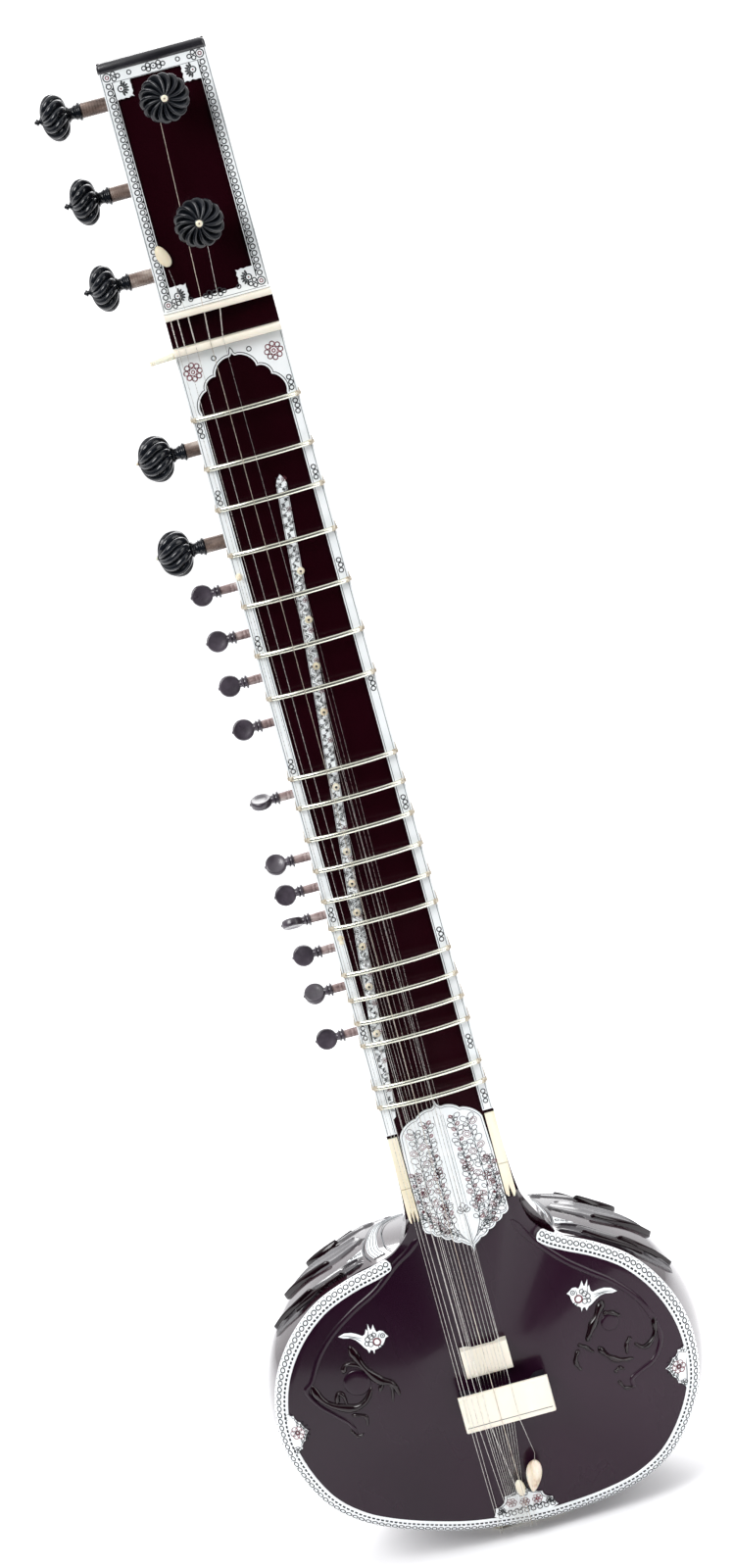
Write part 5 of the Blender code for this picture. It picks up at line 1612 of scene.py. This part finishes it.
def small_bridge():
    """The sympathetic strings' bridge, its top eased at both ends, and its notches."""
    low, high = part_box("taraf_bridge")
    middle = (low.x + high.x) / 2
    arch = bridge_arch(low, high, 0.005, 0.006, 0.0070)
    rings = []
    for z, drop, shrink in ((high.z, 0.0012, 0.0006), (high.z - 0.0010, 0.0003, 0.0),
                            (high.z - 0.004, 0.0, 0.0),
                            (low.z + 0.004, 0.0, 0.0), (low.z + 0.0010, 0.0003, 0.0),
                            (low.z, 0.0012, 0.0006)):
        top = [Vector((mix(x, middle, shrink * 10), low.y + drop, z)) for x, _ in arch]
        under = [Vector((x, y - shrink, z)) for x, y in reversed(arch)]
        rings.append(top + under)
    piece = Piece()
    piece.skin(rings)
    make("small_bridge", piece, BRIDGE_BONE, nodes=("taraf_bridge",), smooth=40)
    stud = [(0.0, 0.0006), (0.0003, 0.0005), (0.0005, 0.0002)]
    places = [0.0003 - 0.0030 * k for k in range(11)]
    string_notches("small_bridge_notches", places, stud, low.y + 0.0001, low.z + 0.0022, 10)


soundboard()
edge_band()
side_ornament("side_ornament_bass", (-0.1728, 0.8957), (-0.1880, 0.8745), (-0.1880, 0.9175))
side_ornament("side_ornament_treble", (0.1285, 0.9256), (0.1505, 0.9085), (0.1415, 0.9490))
bird("bird_bass", (-0.0873, 0.829), (-0.128, 0.821), (-0.104, 0.835))
bird("bird_treble", (0.0645, 0.835), (0.1055, 0.8467), (0.0823, 0.8517))
rim_scrolls()
GOURD = gourd()
heel()
tail()
main_bridge_top()
main_bridge_body()
small_bridge()


# ---------------------------------------------------------------- pegs
def fluted(count, depth, twist, low, high):
    """Rounded lobes round a knob between two heights, swept round by twist, with creases cut into its top."""
    def shape(height, radius, angle):
        t = min(max((height - low) / (high - low), 0.0), 1.0)
        crease = 1 - abs(cos(angle * count / 2)) ** 0.7
        fade = min(t / 0.12, (1 - t) / 0.12, 1.0)
        sink = min(max((t - 0.4) / 0.25, 0.0), 1.0) * depth * 0.7 * radius * crease
        return radius * (1 - depth * fade * crease), -twist * t, sink
    return shape


def big_peg(name, stand=0.0, stretch=1.0, front=False):
    """A main peg: ringed shaft, turned neck, swirled melon knob and finial."""
    joint = JOINTS[name + "_turn"]
    place, axis = Vector(joint["pos_m"]), Vector(joint["axis"])
    if (front and axis.y > 0) or (not front and axis.x > 0):
        axis = -axis
    frame_of = axes(place, axis)
    body = "b_" + name
    reach = 0.025 if front else 0.060 if "chikari" in name else 0.070
    piece = Piece()
    shaft = [(-reach, 0.0004), (-reach + 0.0003, 0.0040), (-0.004, 0.0057), (0.0, 0.0060)]
    rings = 9
    for k in range(rings):
        a = 0.0006 + (0.0146 + stand) * k / rings
        step = (0.0146 + stand) / rings
        shaft += [(a, 0.00605), (a + step * 0.72, 0.00600), (a + step * 0.80, 0.00570),
                  (a + step * 0.94, 0.00570)]
    shaft.append((0.0152 + stand, 0.0058))
    piece.lathe(shaft, frame_of, 28)
    make(name + "_shaft", piece, SHAFT, body, smooth=40)
    piece = Piece()
    turned = [
        (0.0148, 0.0052), (0.0150, 0.0066), (0.0157, 0.0074), (0.0164, 0.0075), (0.0171, 0.0070),
        (0.0175, 0.0062),
        (0.0180, 0.0060), (0.0188, 0.0059), (0.0193, 0.0063), (0.0199, 0.0062), (0.0204, 0.0053),
        (0.0222, 0.0048), (0.0240, 0.0052), (0.0252, 0.0066), (0.0258, 0.0067), (0.0264, 0.0052),
    ]
    piece.lathe([(h + stand, r) for h, r in turned], frame_of, 28)
    knob = [
        (0.0256, 0.0050), (0.0262, 0.0092), (0.0272, 0.0128), (0.0288, 0.0156), (0.0310, 0.0176),
        (0.0335, 0.0187), (0.0360, 0.0189), (0.0385, 0.0184), (0.0410, 0.0171), (0.0432, 0.0151),
        (0.0450, 0.0124), (0.0462, 0.0094), (0.0470, 0.0064), (0.0474, 0.0040),
    ]
    if front:
        knob = [(h if h < 0.036 else 0.036 + (h - 0.036) * 0.75, r * 1.035) for h, r in knob]
    line = spline([(0.0235 + (h - 0.0235) * stretch + stand, r) for h, r in knob], 3)
    low, high = line[0][0], line[-1][0]
    shape = fluted(14 if front else 12, 0.30 if front else 0.18, 1.3 if front else 0.95, low - 0.002,
                   high + 0.004)
    piece.lathe(line, frame_of, 168, flute=shape)
    if front:
        piece.lathe([(high - 0.001, 0.0034), (high + 0.0006, 0.0036), (high + 0.0012, 0.0028)], frame_of, 24)
    elif stretch > 1.0:
        piece.lathe([(high - 0.001, 0.0034), (high + 0.0004, 0.0030), (high + 0.0010, 0.0014)], frame_of, 20)
    else:
        piece.lathe([
            (high - 0.001, 0.0036), (high + 0.0004, 0.0034), (high + 0.0012, 0.0018), (high + 0.0020, 0.0016),
            (high + 0.0027, 0.0027), (high + 0.0036, 0.0026), (high + 0.0042, 0.0016),
            (high + 0.0050, 0.0013),
            (high + 0.0056, 0.0004),
        ], frame_of, 20)
    make(name + "_knob", piece, PEG_BLACK, body, nodes=(name,), smooth=55)
    if stretch > 1.0:
        piece = Piece()
        piece.lathe([(high + 0.0006, 0.0011), (high + 0.0020, 0.0012), (high + 0.0026, 0.0005)], frame_of, 14)
        make(name + "_tip", piece, BONE, body, smooth=50)
    if front:
        piece = Piece()
        piece.lathe([(high, 0.0018), (high + 0.0010, 0.0027), (high + 0.0020, 0.0027),
                     (high + 0.0027, 0.0020),
                     (high + 0.0030, 0.0010)], frame_of, 24)
        make(name + "_button", piece, BONE, body, smooth=50)
        piece = Piece()
        piece.lathe([(high + 0.0024, 0.0007), (high + 0.0031, 0.0007), (high + 0.0034, 0.0004)], frame_of, 14)
        make(name + "_button_dot", piece, SHAFT, body, smooth=50)


def taraf_peg(index, turned, stand):
    """A sympathetic peg: ringed shaft that fades pale at the neck, collars and a flat round head."""
    name = "taraf_peg_%02d" % index
    joint = JOINTS[name + "_turn"]
    place, axis = Vector(joint["pos_m"]), Vector(joint["axis"])
    if axis.x > 0:
        axis = -axis
    frame_of = axes(place, axis)
    body = "b_" + name
    piece = Piece()
    piece.lathe([
        (-0.034, 0.0004), (-0.0338, 0.0024), (0.0, 0.0036), (0.0020, 0.0037), (0.0024, 0.0034),
        (0.0028, 0.0037),
        (0.0050, 0.0037), (0.0054, 0.0034), (0.0058, 0.0037), (0.0084, 0.0036), (0.0102 + stand, 0.0034),
    ], frame_of, 20)
    make(name + "_shaft", piece, TARAF_SHAFT, body, smooth=40)
    centre = place + axis * (0.0250 + stand)
    turn = radians(turned)
    across = Vector((0.0, -sin(turn), cos(turn)))
    piece = Piece()
    piece.lathe([(h + stand, r) for h, r in (
        (0.0098, 0.0030), (0.0100, 0.0047), (0.0104, 0.0055), (0.0112, 0.0056), (0.0117, 0.0050),
        (0.0120, 0.0038),
        (0.0128, 0.0036), (0.0133, 0.0045), (0.0138, 0.0048), (0.0144, 0.0045), (0.0148, 0.0036),
        (0.0160, 0.0032), (0.0175, 0.0033), (0.0200, 0.0024),
    )], frame_of, 22)
    piece.lathe([
        (-0.0024, 0.0010), (-0.0026, 0.0050), (-0.0033, 0.0072), (-0.0032, 0.0079), (-0.0026, 0.0085),
        (-0.0013, 0.0088), (0.0013, 0.0088), (0.0026, 0.0085), (0.0032, 0.0079), (0.0033, 0.0072),
        (0.0026, 0.0050), (0.0024, 0.0010),
    ], axes(centre, across), 44)
    tip = 0.0250 + stand + 0.0084
    piece.lathe([(tip, 0.0014), (tip + 0.0008, 0.0013), (tip + 0.0012, 0.0006)], frame_of, 12)
    make(name + "_head", piece, TARAF_BLACK_PAINTED_SHEEN, body, nodes=(name,), smooth=50)


# ---------------------------------------------------------------- frets
def fret(index):
    """An arched fret with rounded ends, tied round the neck with thread."""
    name = "fret_%02d" % index
    body = "b_f%02d" % index
    s = station(name)
    width = half_width(s)

    def arch(x):
        return -0.0015 - 0.0085 * (1.0 - abs(x / width) ** 2.6)

    steps = 44
    edge = width - 0.0008
    rings = []
    for i in range(steps + 1):
        x = -edge + 2 * edge * i / steps
        size = min(1.0, 0.25 + (edge - abs(x)) / 0.0012)
        tilt = (arch(x + 0.0005) - arch(x - 0.0005)) / 0.001
        norm = Vector((tilt, 0, -1)).normalized()
        ring = []
        for k in range(10):
            a = 2 * pi * k / 10
            up, out = cos(a) * 0.00135 * size, sin(a) * 0.0020 * size
            ring.append(P(x + norm.x * up, s + out, arch(x) + norm.z * up))
        rings.append(ring)
    piece = Piece()
    piece.skin(rings)
    make(name + "_rod", piece, NICKEL, body, nodes=(name,), smooth=60)
    piece = Piece()
    for side in (-1, 1):
        rings = []
        turns = 3
        for i in range(turns * 6 + 1):
            x = side * (width - 0.0004 - 0.0026 * i / (turns * 6))
            swell = 1.0 + 0.08 * cos(2 * pi * i / 6)
            ring = []
            for k in range(10):
                a = 2 * pi * k / 10
                ring.append(P(x, s + sin(a) * 0.00222 * swell, arch(x) - 0.00012 - cos(a) * 0.00142 * swell))
            rings.append(ring)
        piece.skin(rings)
    for k in range(3):
        shift = (k - 1) * 0.00085
        around = [(-width + 0.0030, -0.0019), (-width - 0.0004, -0.0016), (-width - 0.0011, -0.0004)]
        around += [(x, d) for x, d in neck_profile(width, grow=0.0006, top=0.0035)]
        around += [(width + 0.0011, -0.0004), (width + 0.0004, -0.0016), (width - 0.0030, -0.0019)]
        piece.tube([P(x, s + shift, d) for x, d in around], 0.00046, 6)
    make(name + "_thread", piece, THREAD, body, smooth=60)


# ---------------------------------------------------------------- strings
OVER_BONE = 0.00035     # how far a string's middle runs in front of the bone it crosses


def wire(piece, points, radius):
    piece.tube([P(*place) for place in points], radius, 6)


def strings():
    """The played, drone and sympathetic strings, each from its head end to the tail."""
    bridge_top, bridge_end = span("main_bridge_plate")
    small_top, small_end = span("taraf_bridge")
    on_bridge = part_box("main_bridge_plate")[0].y - FACE - OVER_BONE
    over_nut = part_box("nut")[0].y - FACE - OVER_BONE
    on_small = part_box("taraf_bridge")[0].y - FACE - OVER_BONE
    nut_top, nut_end = span("nut")
    tail_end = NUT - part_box("main_strings")[0].z
    crest = (tail_end - 0.0214, 0.0170)
    turn = (tail_end - 0.0072, 0.0312)
    anchor = (tail_end - 0.0009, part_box("main_strings")[1].y - FACE - 0.0009)
    guide = (-0.0265, -0.0075)
    played = (
        ((-0.0391,), (-0.0391, -0.0345, -0.0300), 0.00019),
        ((-0.0335,), (-0.0335, -0.0298, -0.0284), 0.00019),
        ((-0.0251, (-0.0300, -0.0640, -0.0040)), (-0.0251, -0.0248, -0.0150), 0.00022),
        ((-0.0118, (-0.0056, -0.1890, -0.0080)), (-0.0133, -0.0150, -0.0134), 0.00026),
    )

    def to_tail(bridge_x, tail_x):
        """Over the main bridge, down the tail's crest and to the anchor behind it."""
        return [
            (bridge_x, bridge_top, on_bridge), (bridge_x, bridge_end, on_bridge),
            (tail_x, *crest), (tail_x, *turn), (tail_x, *anchor),
        ]

    steel, bronze = Piece(), Piece()
    for head, (nut_x, bridge_x, tail_x), radius in played:
        start = [head[1]] if len(head) > 1 else []
        path = start + [(head[0], *guide), (nut_x, nut_top, over_nut), (nut_x, nut_end, over_nut)]
        wire(bronze if radius > 0.00024 else steel, path + to_tail(bridge_x, tail_x), radius)
    top, end = bead_axis()
    along = (end - top).normalized() * 0.008
    path = [P(0.0050, -0.0865, -0.0080), P(0.0010, *guide)]
    path += [P(-0.0029, nut_top, over_nut), P(-0.0029, nut_end, over_nut)]
    path += [P(-0.0002, bridge_top, on_bridge), P(-0.0002, bridge_end, on_bridge), top - along, end + along]
    path += [P(-0.0100, *crest), P(-0.0100, *turn), P(-0.0100, *anchor)]
    steel.tube(path, 0.00019, 6)
    for (post_x, post_s, post_d), bridge_x, tail_x in (
        ((-0.0405, 0.1840, -0.0135), -0.0415, -0.0410), ((-0.0384, 0.4910, -0.0175), -0.0386, -0.0388),
    ):
        wire(steel, [(post_x, post_s, post_d)] + to_tail(bridge_x, tail_x), 0.00018)
    for k, (x, s) in enumerate(grommet_places()):
        notch, tail_x = 0.0003 - 0.0030 * k, -0.0165 - 0.0010 * k
        path = [(x, s, -0.0018), (notch, small_top, on_small), (notch, small_end, on_small)]
        path += [(tail_x, *crest), (tail_x, turn[0] - 0.0020, turn[1] - 0.0010),
                 (tail_x, anchor[0] - 0.0030, anchor[1] - 0.0010)]
        wire(steel, path, 0.00016)
    for low_x, high_x, s, d in ((-0.0425, -0.0085, *anchor),
                                (-0.0275, -0.0155, anchor[0] - 0.0030, anchor[1] - 0.0010)):
        steel.tube([P(low_x, s, d), P(high_x, s, d)], 0.0009, 10)
    make("steel_strings", steel, STEEL, nodes=("main_strings", "taraf_strings"),
         smooth=60)
    make("bronze_string", bronze, BRONZE, smooth=60)
    # the doubled, twisted wire between the guide and the nut
    twist = Piece()
    for start, end in ((-0.0391, -0.0391), (-0.0335, -0.0335), (-0.0251, -0.0251), (-0.0118, -0.0133),
                       (0.0010, -0.0029)):
        for phase in (0.0, pi):
            path = []
            for i in range(61):
                t = i / 60
                a = phase + t * 2 * pi * 7
                path.append((mix(start, end, t) + 0.00034 * cos(a), mix(guide[0], nut_top - 0.0008, t),
                             mix(guide[1], over_nut, t) - 0.0001 + 0.00034 * sin(a)))
            wire(twist, path, 0.00022)
    make("twisted_string_ends", twist, STEEL, smooth=60)


def span(node):
    """Stations where a part starts and ends."""
    low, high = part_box(node)
    return NUT - high.z, NUT - low.z


def bead_axis():
    return P(0.0025, 0.9650, -0.0026), P(-0.0050, 0.9960, 0.0098)


def square_to(axis):
    """Two directions square to an axis, the first one as near to +X as it can be."""
    side = Vector((1, 0, 0))
    side = (side - axis * side.dot(axis)).normalized()
    return side, axis.cross(side)


def tuning_bead():
    """The carved bead on the melody string, shaped like a folded petal."""
    top, end = bead_axis()
    axis = (end - top).normalized()
    side, front = square_to(axis)
    if front.y > 0:
        front = -front
    length = (end - top).length
    profile = spline([(0.0, 0.0011), (0.03, 0.0022), (0.12, 0.0048), (0.24, 0.0062), (0.38, 0.0067),
                      (0.52, 0.0064),
                      (0.68, 0.0053), (0.84, 0.0036), (0.95, 0.0022), (1.0, 0.0012)], 3)
    piece = Piece()
    rings = []
    segments = 40
    for t, radius in profile:
        ring = []
        for i in range(segments):
            a = 2 * pi * i / segments
            crease = 1.0 - 0.20 * exp(-((a - pi * 0.62) / 0.20) ** 2)
            crease -= 0.10 * exp(-((a - pi * 0.30) / 0.16) ** 2)
            ring.append(top + axis * (t * length) + side * (cos(a) * radius * crease)
                        + front * (sin(a) * radius * 0.86 * crease))
        rings.append(ring)
    piece.skin(rings)
    made = make("tuning_bead_carved", piece, BEAD_BONE, "b_bead", nodes=("tuning_bead",),
                smooth=60)
    cutters = Piece()
    cutters.tube([top - axis * 0.004, end + axis * 0.004], 0.00075, 12)
    cut(made, cutters)


def tail_stud():
    """The white petal-shaped stud beside the bead."""
    top, end = on_board(-0.0152, 0.9809, 0.0080), on_board(-0.0146, 0.9990, 0.0042)
    axis = (end - top).normalized()
    piece = Piece()
    side, front = square_to(axis)
    length = (end - top).length
    rings = []
    for t, radius in spline([(0.0, 0.0006), (0.10, 0.0024), (0.30, 0.0037), (0.55, 0.0040), (0.80, 0.0030),
                             (1.0, 0.0012)], 4):
        rings.append([
            top + axis * (t * length) + side * (cos(2 * pi * i / 24) * radius)
            + front * (sin(2 * pi * i / 24) * radius * 0.62)
            for i in range(24)
        ])
    piece.skin(rings)
    foot = mix(top, end, 0.75)
    piece.tube([foot, Vector((foot.x, on_board(foot.x, NUT - foot.z, -0.0008).y, foot.z))], 0.0013, 10)
    make("tail_stud", piece, BONE, smooth=60)


# ---------------------------------------------------------------- shoulder carving
GOURD_MIDDLE = (-0.018, 0.894, 0.090)


def draper(made):
    """A function that lays points on the outside of a closed form round the gourd's middle."""
    tree_of = BVHTree.FromPolygons([v.co.copy() for v in made.data.vertices],
                                   [tuple(p.vertices) for p in made.data.polygons])
    centre = P(*GOURD_MIDDLE)

    def drape(point, lift=0.0):
        """Where the ray from the gourd's middle through a point leaves the gourd."""
        away = (point - centre).normalized()
        hit, normal, _, _ = tree_of.ray_cast(centre + away * 1.0, -away)
        if hit is None:
            return point
        if normal.dot(away) < 0:
            normal = -normal
        return hit + normal * lift

    return drape


def shoulder(drape, side):
    """The carved leaves, crescent and small triangle on one shoulder of the gourd."""
    name = "bass" if side < 0 else "treble"
    back = 0.0 if side < 0 else 0.095
    middle = P(*GOURD_MIDDLE)
    lean = Matrix.Rotation(LEAN, 3, "Y")

    def surface_at(angle, tilt, lift=0.0):
        """angle is round from straight up towards the side, tilt is back from the front."""
        angle -= back * max(0.0, 1.0 - max(angle - 0.65, 0.0) * 1.2)
        tilt = max(tilt, -0.425 + 0.19 * max(angle - 0.65, 0.0))
        up = Vector((sin(angle) * side * cos(tilt), sin(tilt), cos(angle) * cos(tilt)))
        return drape(middle + lean @ up * 0.2, lift)

    def blade(piece, points, width, profile, teeth=1, ragged=0.0):
        """A raised blade along a line on the shoulder; profile gives its height across."""
        path = spline(points, 10)
        count = len(path)
        rings = []
        for i, (a, b) in enumerate(path):
            t = i / (count - 1)
            before, after = path[max(i - 1, 0)], path[min(i + 1, count - 1)]
            da, db = after[0] - before[0], after[1] - before[1]
            n = hypot(da, db) or 1.0
            saw = 1.0 - ragged * (t * teeth % 1.0)
            wide = width * max(sin(pi * min(0.10 + t * 0.90, 1.0)), 0.03) ** 0.7
            ends = min(t / 0.08, (1 - t) / 0.06, 1.0)
            ring = []
            for k in range(15):
                c = -1 + 2 * k / 14
                reach = wide * (saw if c > 0 else 1.0)
                ring.append(surface_at(a - db / n * c * reach, b + da / n * c * reach,
                                       profile(c) * ends - 0.0004))
            ring += [p + (middle - p).normalized() * 0.0012 for p in (ring[-1], ring[0])]
            rings.append(ring)
        piece.skin(rings)

    def petal_height(c):
        rim = exp(-((abs(c) - 0.80) / 0.14) ** 2)
        vein = exp(-(c / 0.16) ** 2)
        return 0.0030 * max(rim, 0.45 * vein) * (1 - abs(c) ** 12) + 0.0010 * (1 - c * c)

    leaves = Piece()
    for points, width in (
        ([(0.63, -0.05), (0.73, -0.09), (0.85, -0.08), (0.99, -0.02), (1.15, 0.03)], 0.112),
        ([(0.65, -0.38), (0.77, -0.365), (0.89, -0.355), (1.01, -0.32), (1.13, -0.27), (1.28, -0.18)], 0.060),
        ([(0.58, 0.30), (0.70, 0.26), (0.85, 0.24), (1.02, 0.27)], 0.105),
        ([(0.50, 0.60), (0.64, 0.56), (0.80, 0.54), (0.96, 0.56)], 0.110),
        ([(0.36, 0.90), (0.52, 0.86), (0.68, 0.84), (0.84, 0.86)], 0.115),
    ):
        blade(leaves, points, width, petal_height)
    make("shoulder_leaves_" + name, leaves, LEAF_LACQUER_PAINTED_SHEEN, smooth=50)

    cuts = Piece()
    for points, width in (
        ([(0.82, -0.18), (0.92, -0.14), (1.03, -0.08), (1.14, -0.01)], 0.022),
        ([(0.77, -0.395), (0.88, -0.375), (0.99, -0.345), (1.10, -0.31)], 0.017),
        ([(0.95, -0.31), (1.06, -0.27), (1.15, -0.22), (1.25, -0.17)], 0.020),
        ([(0.78, 0.16), (0.90, 0.17), (1.01, 0.22)], 0.022),
        ([(0.74, 0.46), (0.86, 0.47), (0.95, 0.52)], 0.022),
    ):
        blade(cuts, points, width, lambda c: 0.0052 * (1 - c * c) ** 0.6, 4, 0.62)
    make("shoulder_leaf_tips_" + name, cuts, RELIEF_LACQUER, smooth=40)

    outer = [(0.42, 0.36), (0.505, 0.20), (0.555, 0.067), (0.586, -0.085), (0.612, -0.227), (0.619, -0.34),
             (0.600, -0.42)]
    inner = [(0.38, 0.33), (0.46, 0.19), (0.510, 0.08), (0.540, -0.095), (0.552, -0.235), (0.553, -0.34),
             (0.530, -0.41)]
    a, b = spline(outer, 8), spline(inner, 8)
    crescent = Piece()
    rings = []
    for one, two in zip(a, b):
        row = [(mix(one[0], two[0], k / 6), mix(one[1], two[1], k / 6)) for k in range(7)]
        rings.append([surface_at(u, v, 0.0009) for u, v in row] + [surface_at(u, v, -0.0006) for u,
                                                                   v in reversed(row)])
    crescent.skin(rings)
    make("shoulder_crescent_" + name, crescent, SHEET, smooth=50)
    lines = Ink(lambda u, v: surface_at(u, v, 0.00105))
    for share in (0.10, 0.38, 0.62, 0.90):
        lines.strip([(mix(one[0], two[0], share), mix(one[1], two[1], share)) for one, two in zip(a, b)],
                    0.0026)
    for share in (-0.30, 1.55):
        lines.strip([(mix(one[0], two[0], share), mix(one[1], two[1], share)) for one, two in zip(a, b)],
                    0.0030)
    lines.make("shoulder_crescent_lines_" + name, LINE_INK)

    triangle = Piece()
    corners = [(0.644, -0.262), (0.652, -0.338), (0.745, -0.300)]
    triangle.skin([[surface_at(u, v, lift) for u, v in corners] for lift in (0.0009, -0.0006)])
    make("shoulder_triangle_" + name, triangle, SHEET, smooth=30)
    dots = Ink(lambda u, v: surface_at(u, v, 0.00105))
    for u, r in ((0.665, 0.010), (0.690, 0.008), (0.712, 0.006)):
        dots.ring(u, -0.300, r, 0.0028, 10)
    dots.make("shoulder_triangle_dots_" + name, INK)


for peg, stand in (("head_peg_upper", 0.0060), ("head_peg_middle", 0.0010), ("head_peg_lower", 0.0040)):
    big_peg(peg, stand)
for peg in ("front_peg_upper", "front_peg_lower"):
    big_peg(peg, front=True)
for peg, stand in (("chikari_peg_upper", -0.0035), ("chikari_peg_lower", 0.0015)):
    big_peg(peg, stand, stretch=1.25)
for index, (turned, stand) in enumerate((
    (85, 0.0043), (80, 0.0020), (85, 0.0020), (80, 0.0006), (18, 0.0022), (60, 0.0040), (85, 0.0030),
    (-25, 0.0036), (85, 0.0018), (50, 0.0012), (80, 0.0015),
), 1):
    taraf_peg(index, turned, stand)
for index in range(1, 20):
    fret(index)
strings()
tuning_bead()
tail_stud()
drape_on_gourd = draper(GOURD)
shoulder(drape_on_gourd, -1)
shoulder(drape_on_gourd, 1)


# ---------------------------------------------------------------- stage
def camera():
    """The camera stands in front of the neck's middle, a little above, and rolled to one side.

    Its place and its turn are rounded results of a least-squares fit made by a helper program.
    """
    data = bpy.data.cameras.new("camera")
    data.sensor_width = 36.0
    data.lens = 90.6
    data.clip_end = 50.0
    made = bpy.data.objects.new("camera", data)
    right, up = Vector((0.9653, -0.0542, -0.2556)), Vector((0.2613, 0.1938, 0.9456))
    back = right.cross(up).normalized()
    up = back.cross(right).normalized()
    right.normalize()
    made.matrix_world = Matrix((
        (right.x, up.x, back.x, 0.0085),
        (right.y, up.y, back.y, FACE - 3.106),
        (right.z, up.z, back.z, NUT + 0.265),
        (0, 0, 0, 1),
    ))
    bpy.context.scene.collection.objects.link(made)
    bpy.context.scene.camera = made


def floor():
    """A pale floor; its front edge slants and lies not far in front of the sitar."""
    data = bpy.data.meshes.new("floor")
    columns = ((-9.0, -0.55), (-0.5, -0.65), (0.5, -1.35), (9.0, -1.45))
    rows = (None, 2.0, 6.0)
    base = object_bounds()[0][2]
    verts, faces = [], []
    for y in rows:
        verts += [(x, front if y is None else y, base) for x, front in columns]
    for i in range(len(rows) - 1):
        for k in range(3):
            a = 4 * i + k
            faces.append((a, a + 1, a + 5, a + 4))
    data.from_pydata(verts, [], faces)
    data.shade_smooth()
    made = bpy.data.objects.new("floor", data)
    paint = surface(
        "floor_paint", [(0.3, (0.93, 0.93, 0.94)), (0.7, (0.95, 0.95, 0.96))], 1.5, rough=(0.7, 0.8),
        Emission_Color=(0.97, 0.98, 1.0, 1), Emission_Strength=0.14,
    )
    data.materials.append(paint)
    bpy.context.scene.collection.objects.link(made)
    made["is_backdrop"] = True


def area(name, place, target, size, power, colour=(1, 1, 1)):
    data = bpy.data.lights.new(name, "AREA")
    data.shape = "RECTANGLE"
    data.size, data.size_y = size
    data.energy = power
    data.color = colour
    made = bpy.data.objects.new(name, data)
    made.location = place
    made.rotation_euler = (Vector(target) - Vector(place)).to_track_quat("-Z", "Y").to_euler()
    bpy.context.scene.collection.objects.link(made)


def lights():
    world = bpy.data.worlds.new("studio")
    world.use_nodes = True
    tree = world.node_tree
    back = tree.nodes["Background"]
    place = tree.nodes.new("ShaderNodeTexCoord")
    split = tree.nodes.new("ShaderNodeSeparateXYZ")
    tree.links.new(place.outputs["Generated"], split.inputs["Vector"])
    lean = tree.nodes.new("ShaderNodeMath")
    lean.operation = "MULTIPLY_ADD"
    lean.inputs[1].default_value = 0.6
    tree.links.new(split.outputs["Y"], lean.inputs[0])
    tree.links.new(split.outputs["Z"], lean.inputs[2])
    height = tree.nodes.new("ShaderNodeMapRange")
    height.inputs["From Min"].default_value = 0.0
    height.inputs["From Max"].default_value = 0.75
    tree.links.new(lean.outputs["Value"], height.inputs["Value"])
    glow = tree.nodes.new("ShaderNodeValToRGB")
    glow.color_ramp.elements[0].color = (0.02, 0.02, 0.022, 1)
    glow.color_ramp.elements[1].color = (1.0, 1.0, 1.02, 1)
    tree.links.new(height.outputs["Result"], glow.inputs["Fac"])
    path = tree.nodes.new("ShaderNodeLightPath")
    pick = tree.nodes.new("ShaderNodeMixRGB")
    pick.inputs["Color2"].default_value = (1.0, 1.0, 1.0, 1)
    tree.links.new(path.outputs["Is Camera Ray"], pick.inputs["Fac"])
    tree.links.new(glow.outputs["Color"], pick.inputs["Color1"])
    tree.links.new(pick.outputs["Color"], back.inputs["Color"])
    back.inputs["Strength"].default_value = 1.35
    bpy.context.scene.world = world
    area("key", (-1.8, -2.2, 2.6), (0, 0, 0.6), (1.6, 1.6), 95)
    area("fill", (2.4, -1.6, 1.4), (0, 0, 0.5), (1.6, 2.0), 34)
    area("rear", (0.5, 1.8, 2.4), (0, 0.1, 0.4), (2.0, 1.2), 40)
    bpy.context.scene.view_settings.view_transform = "Standard"


camera()
floor()
lights()
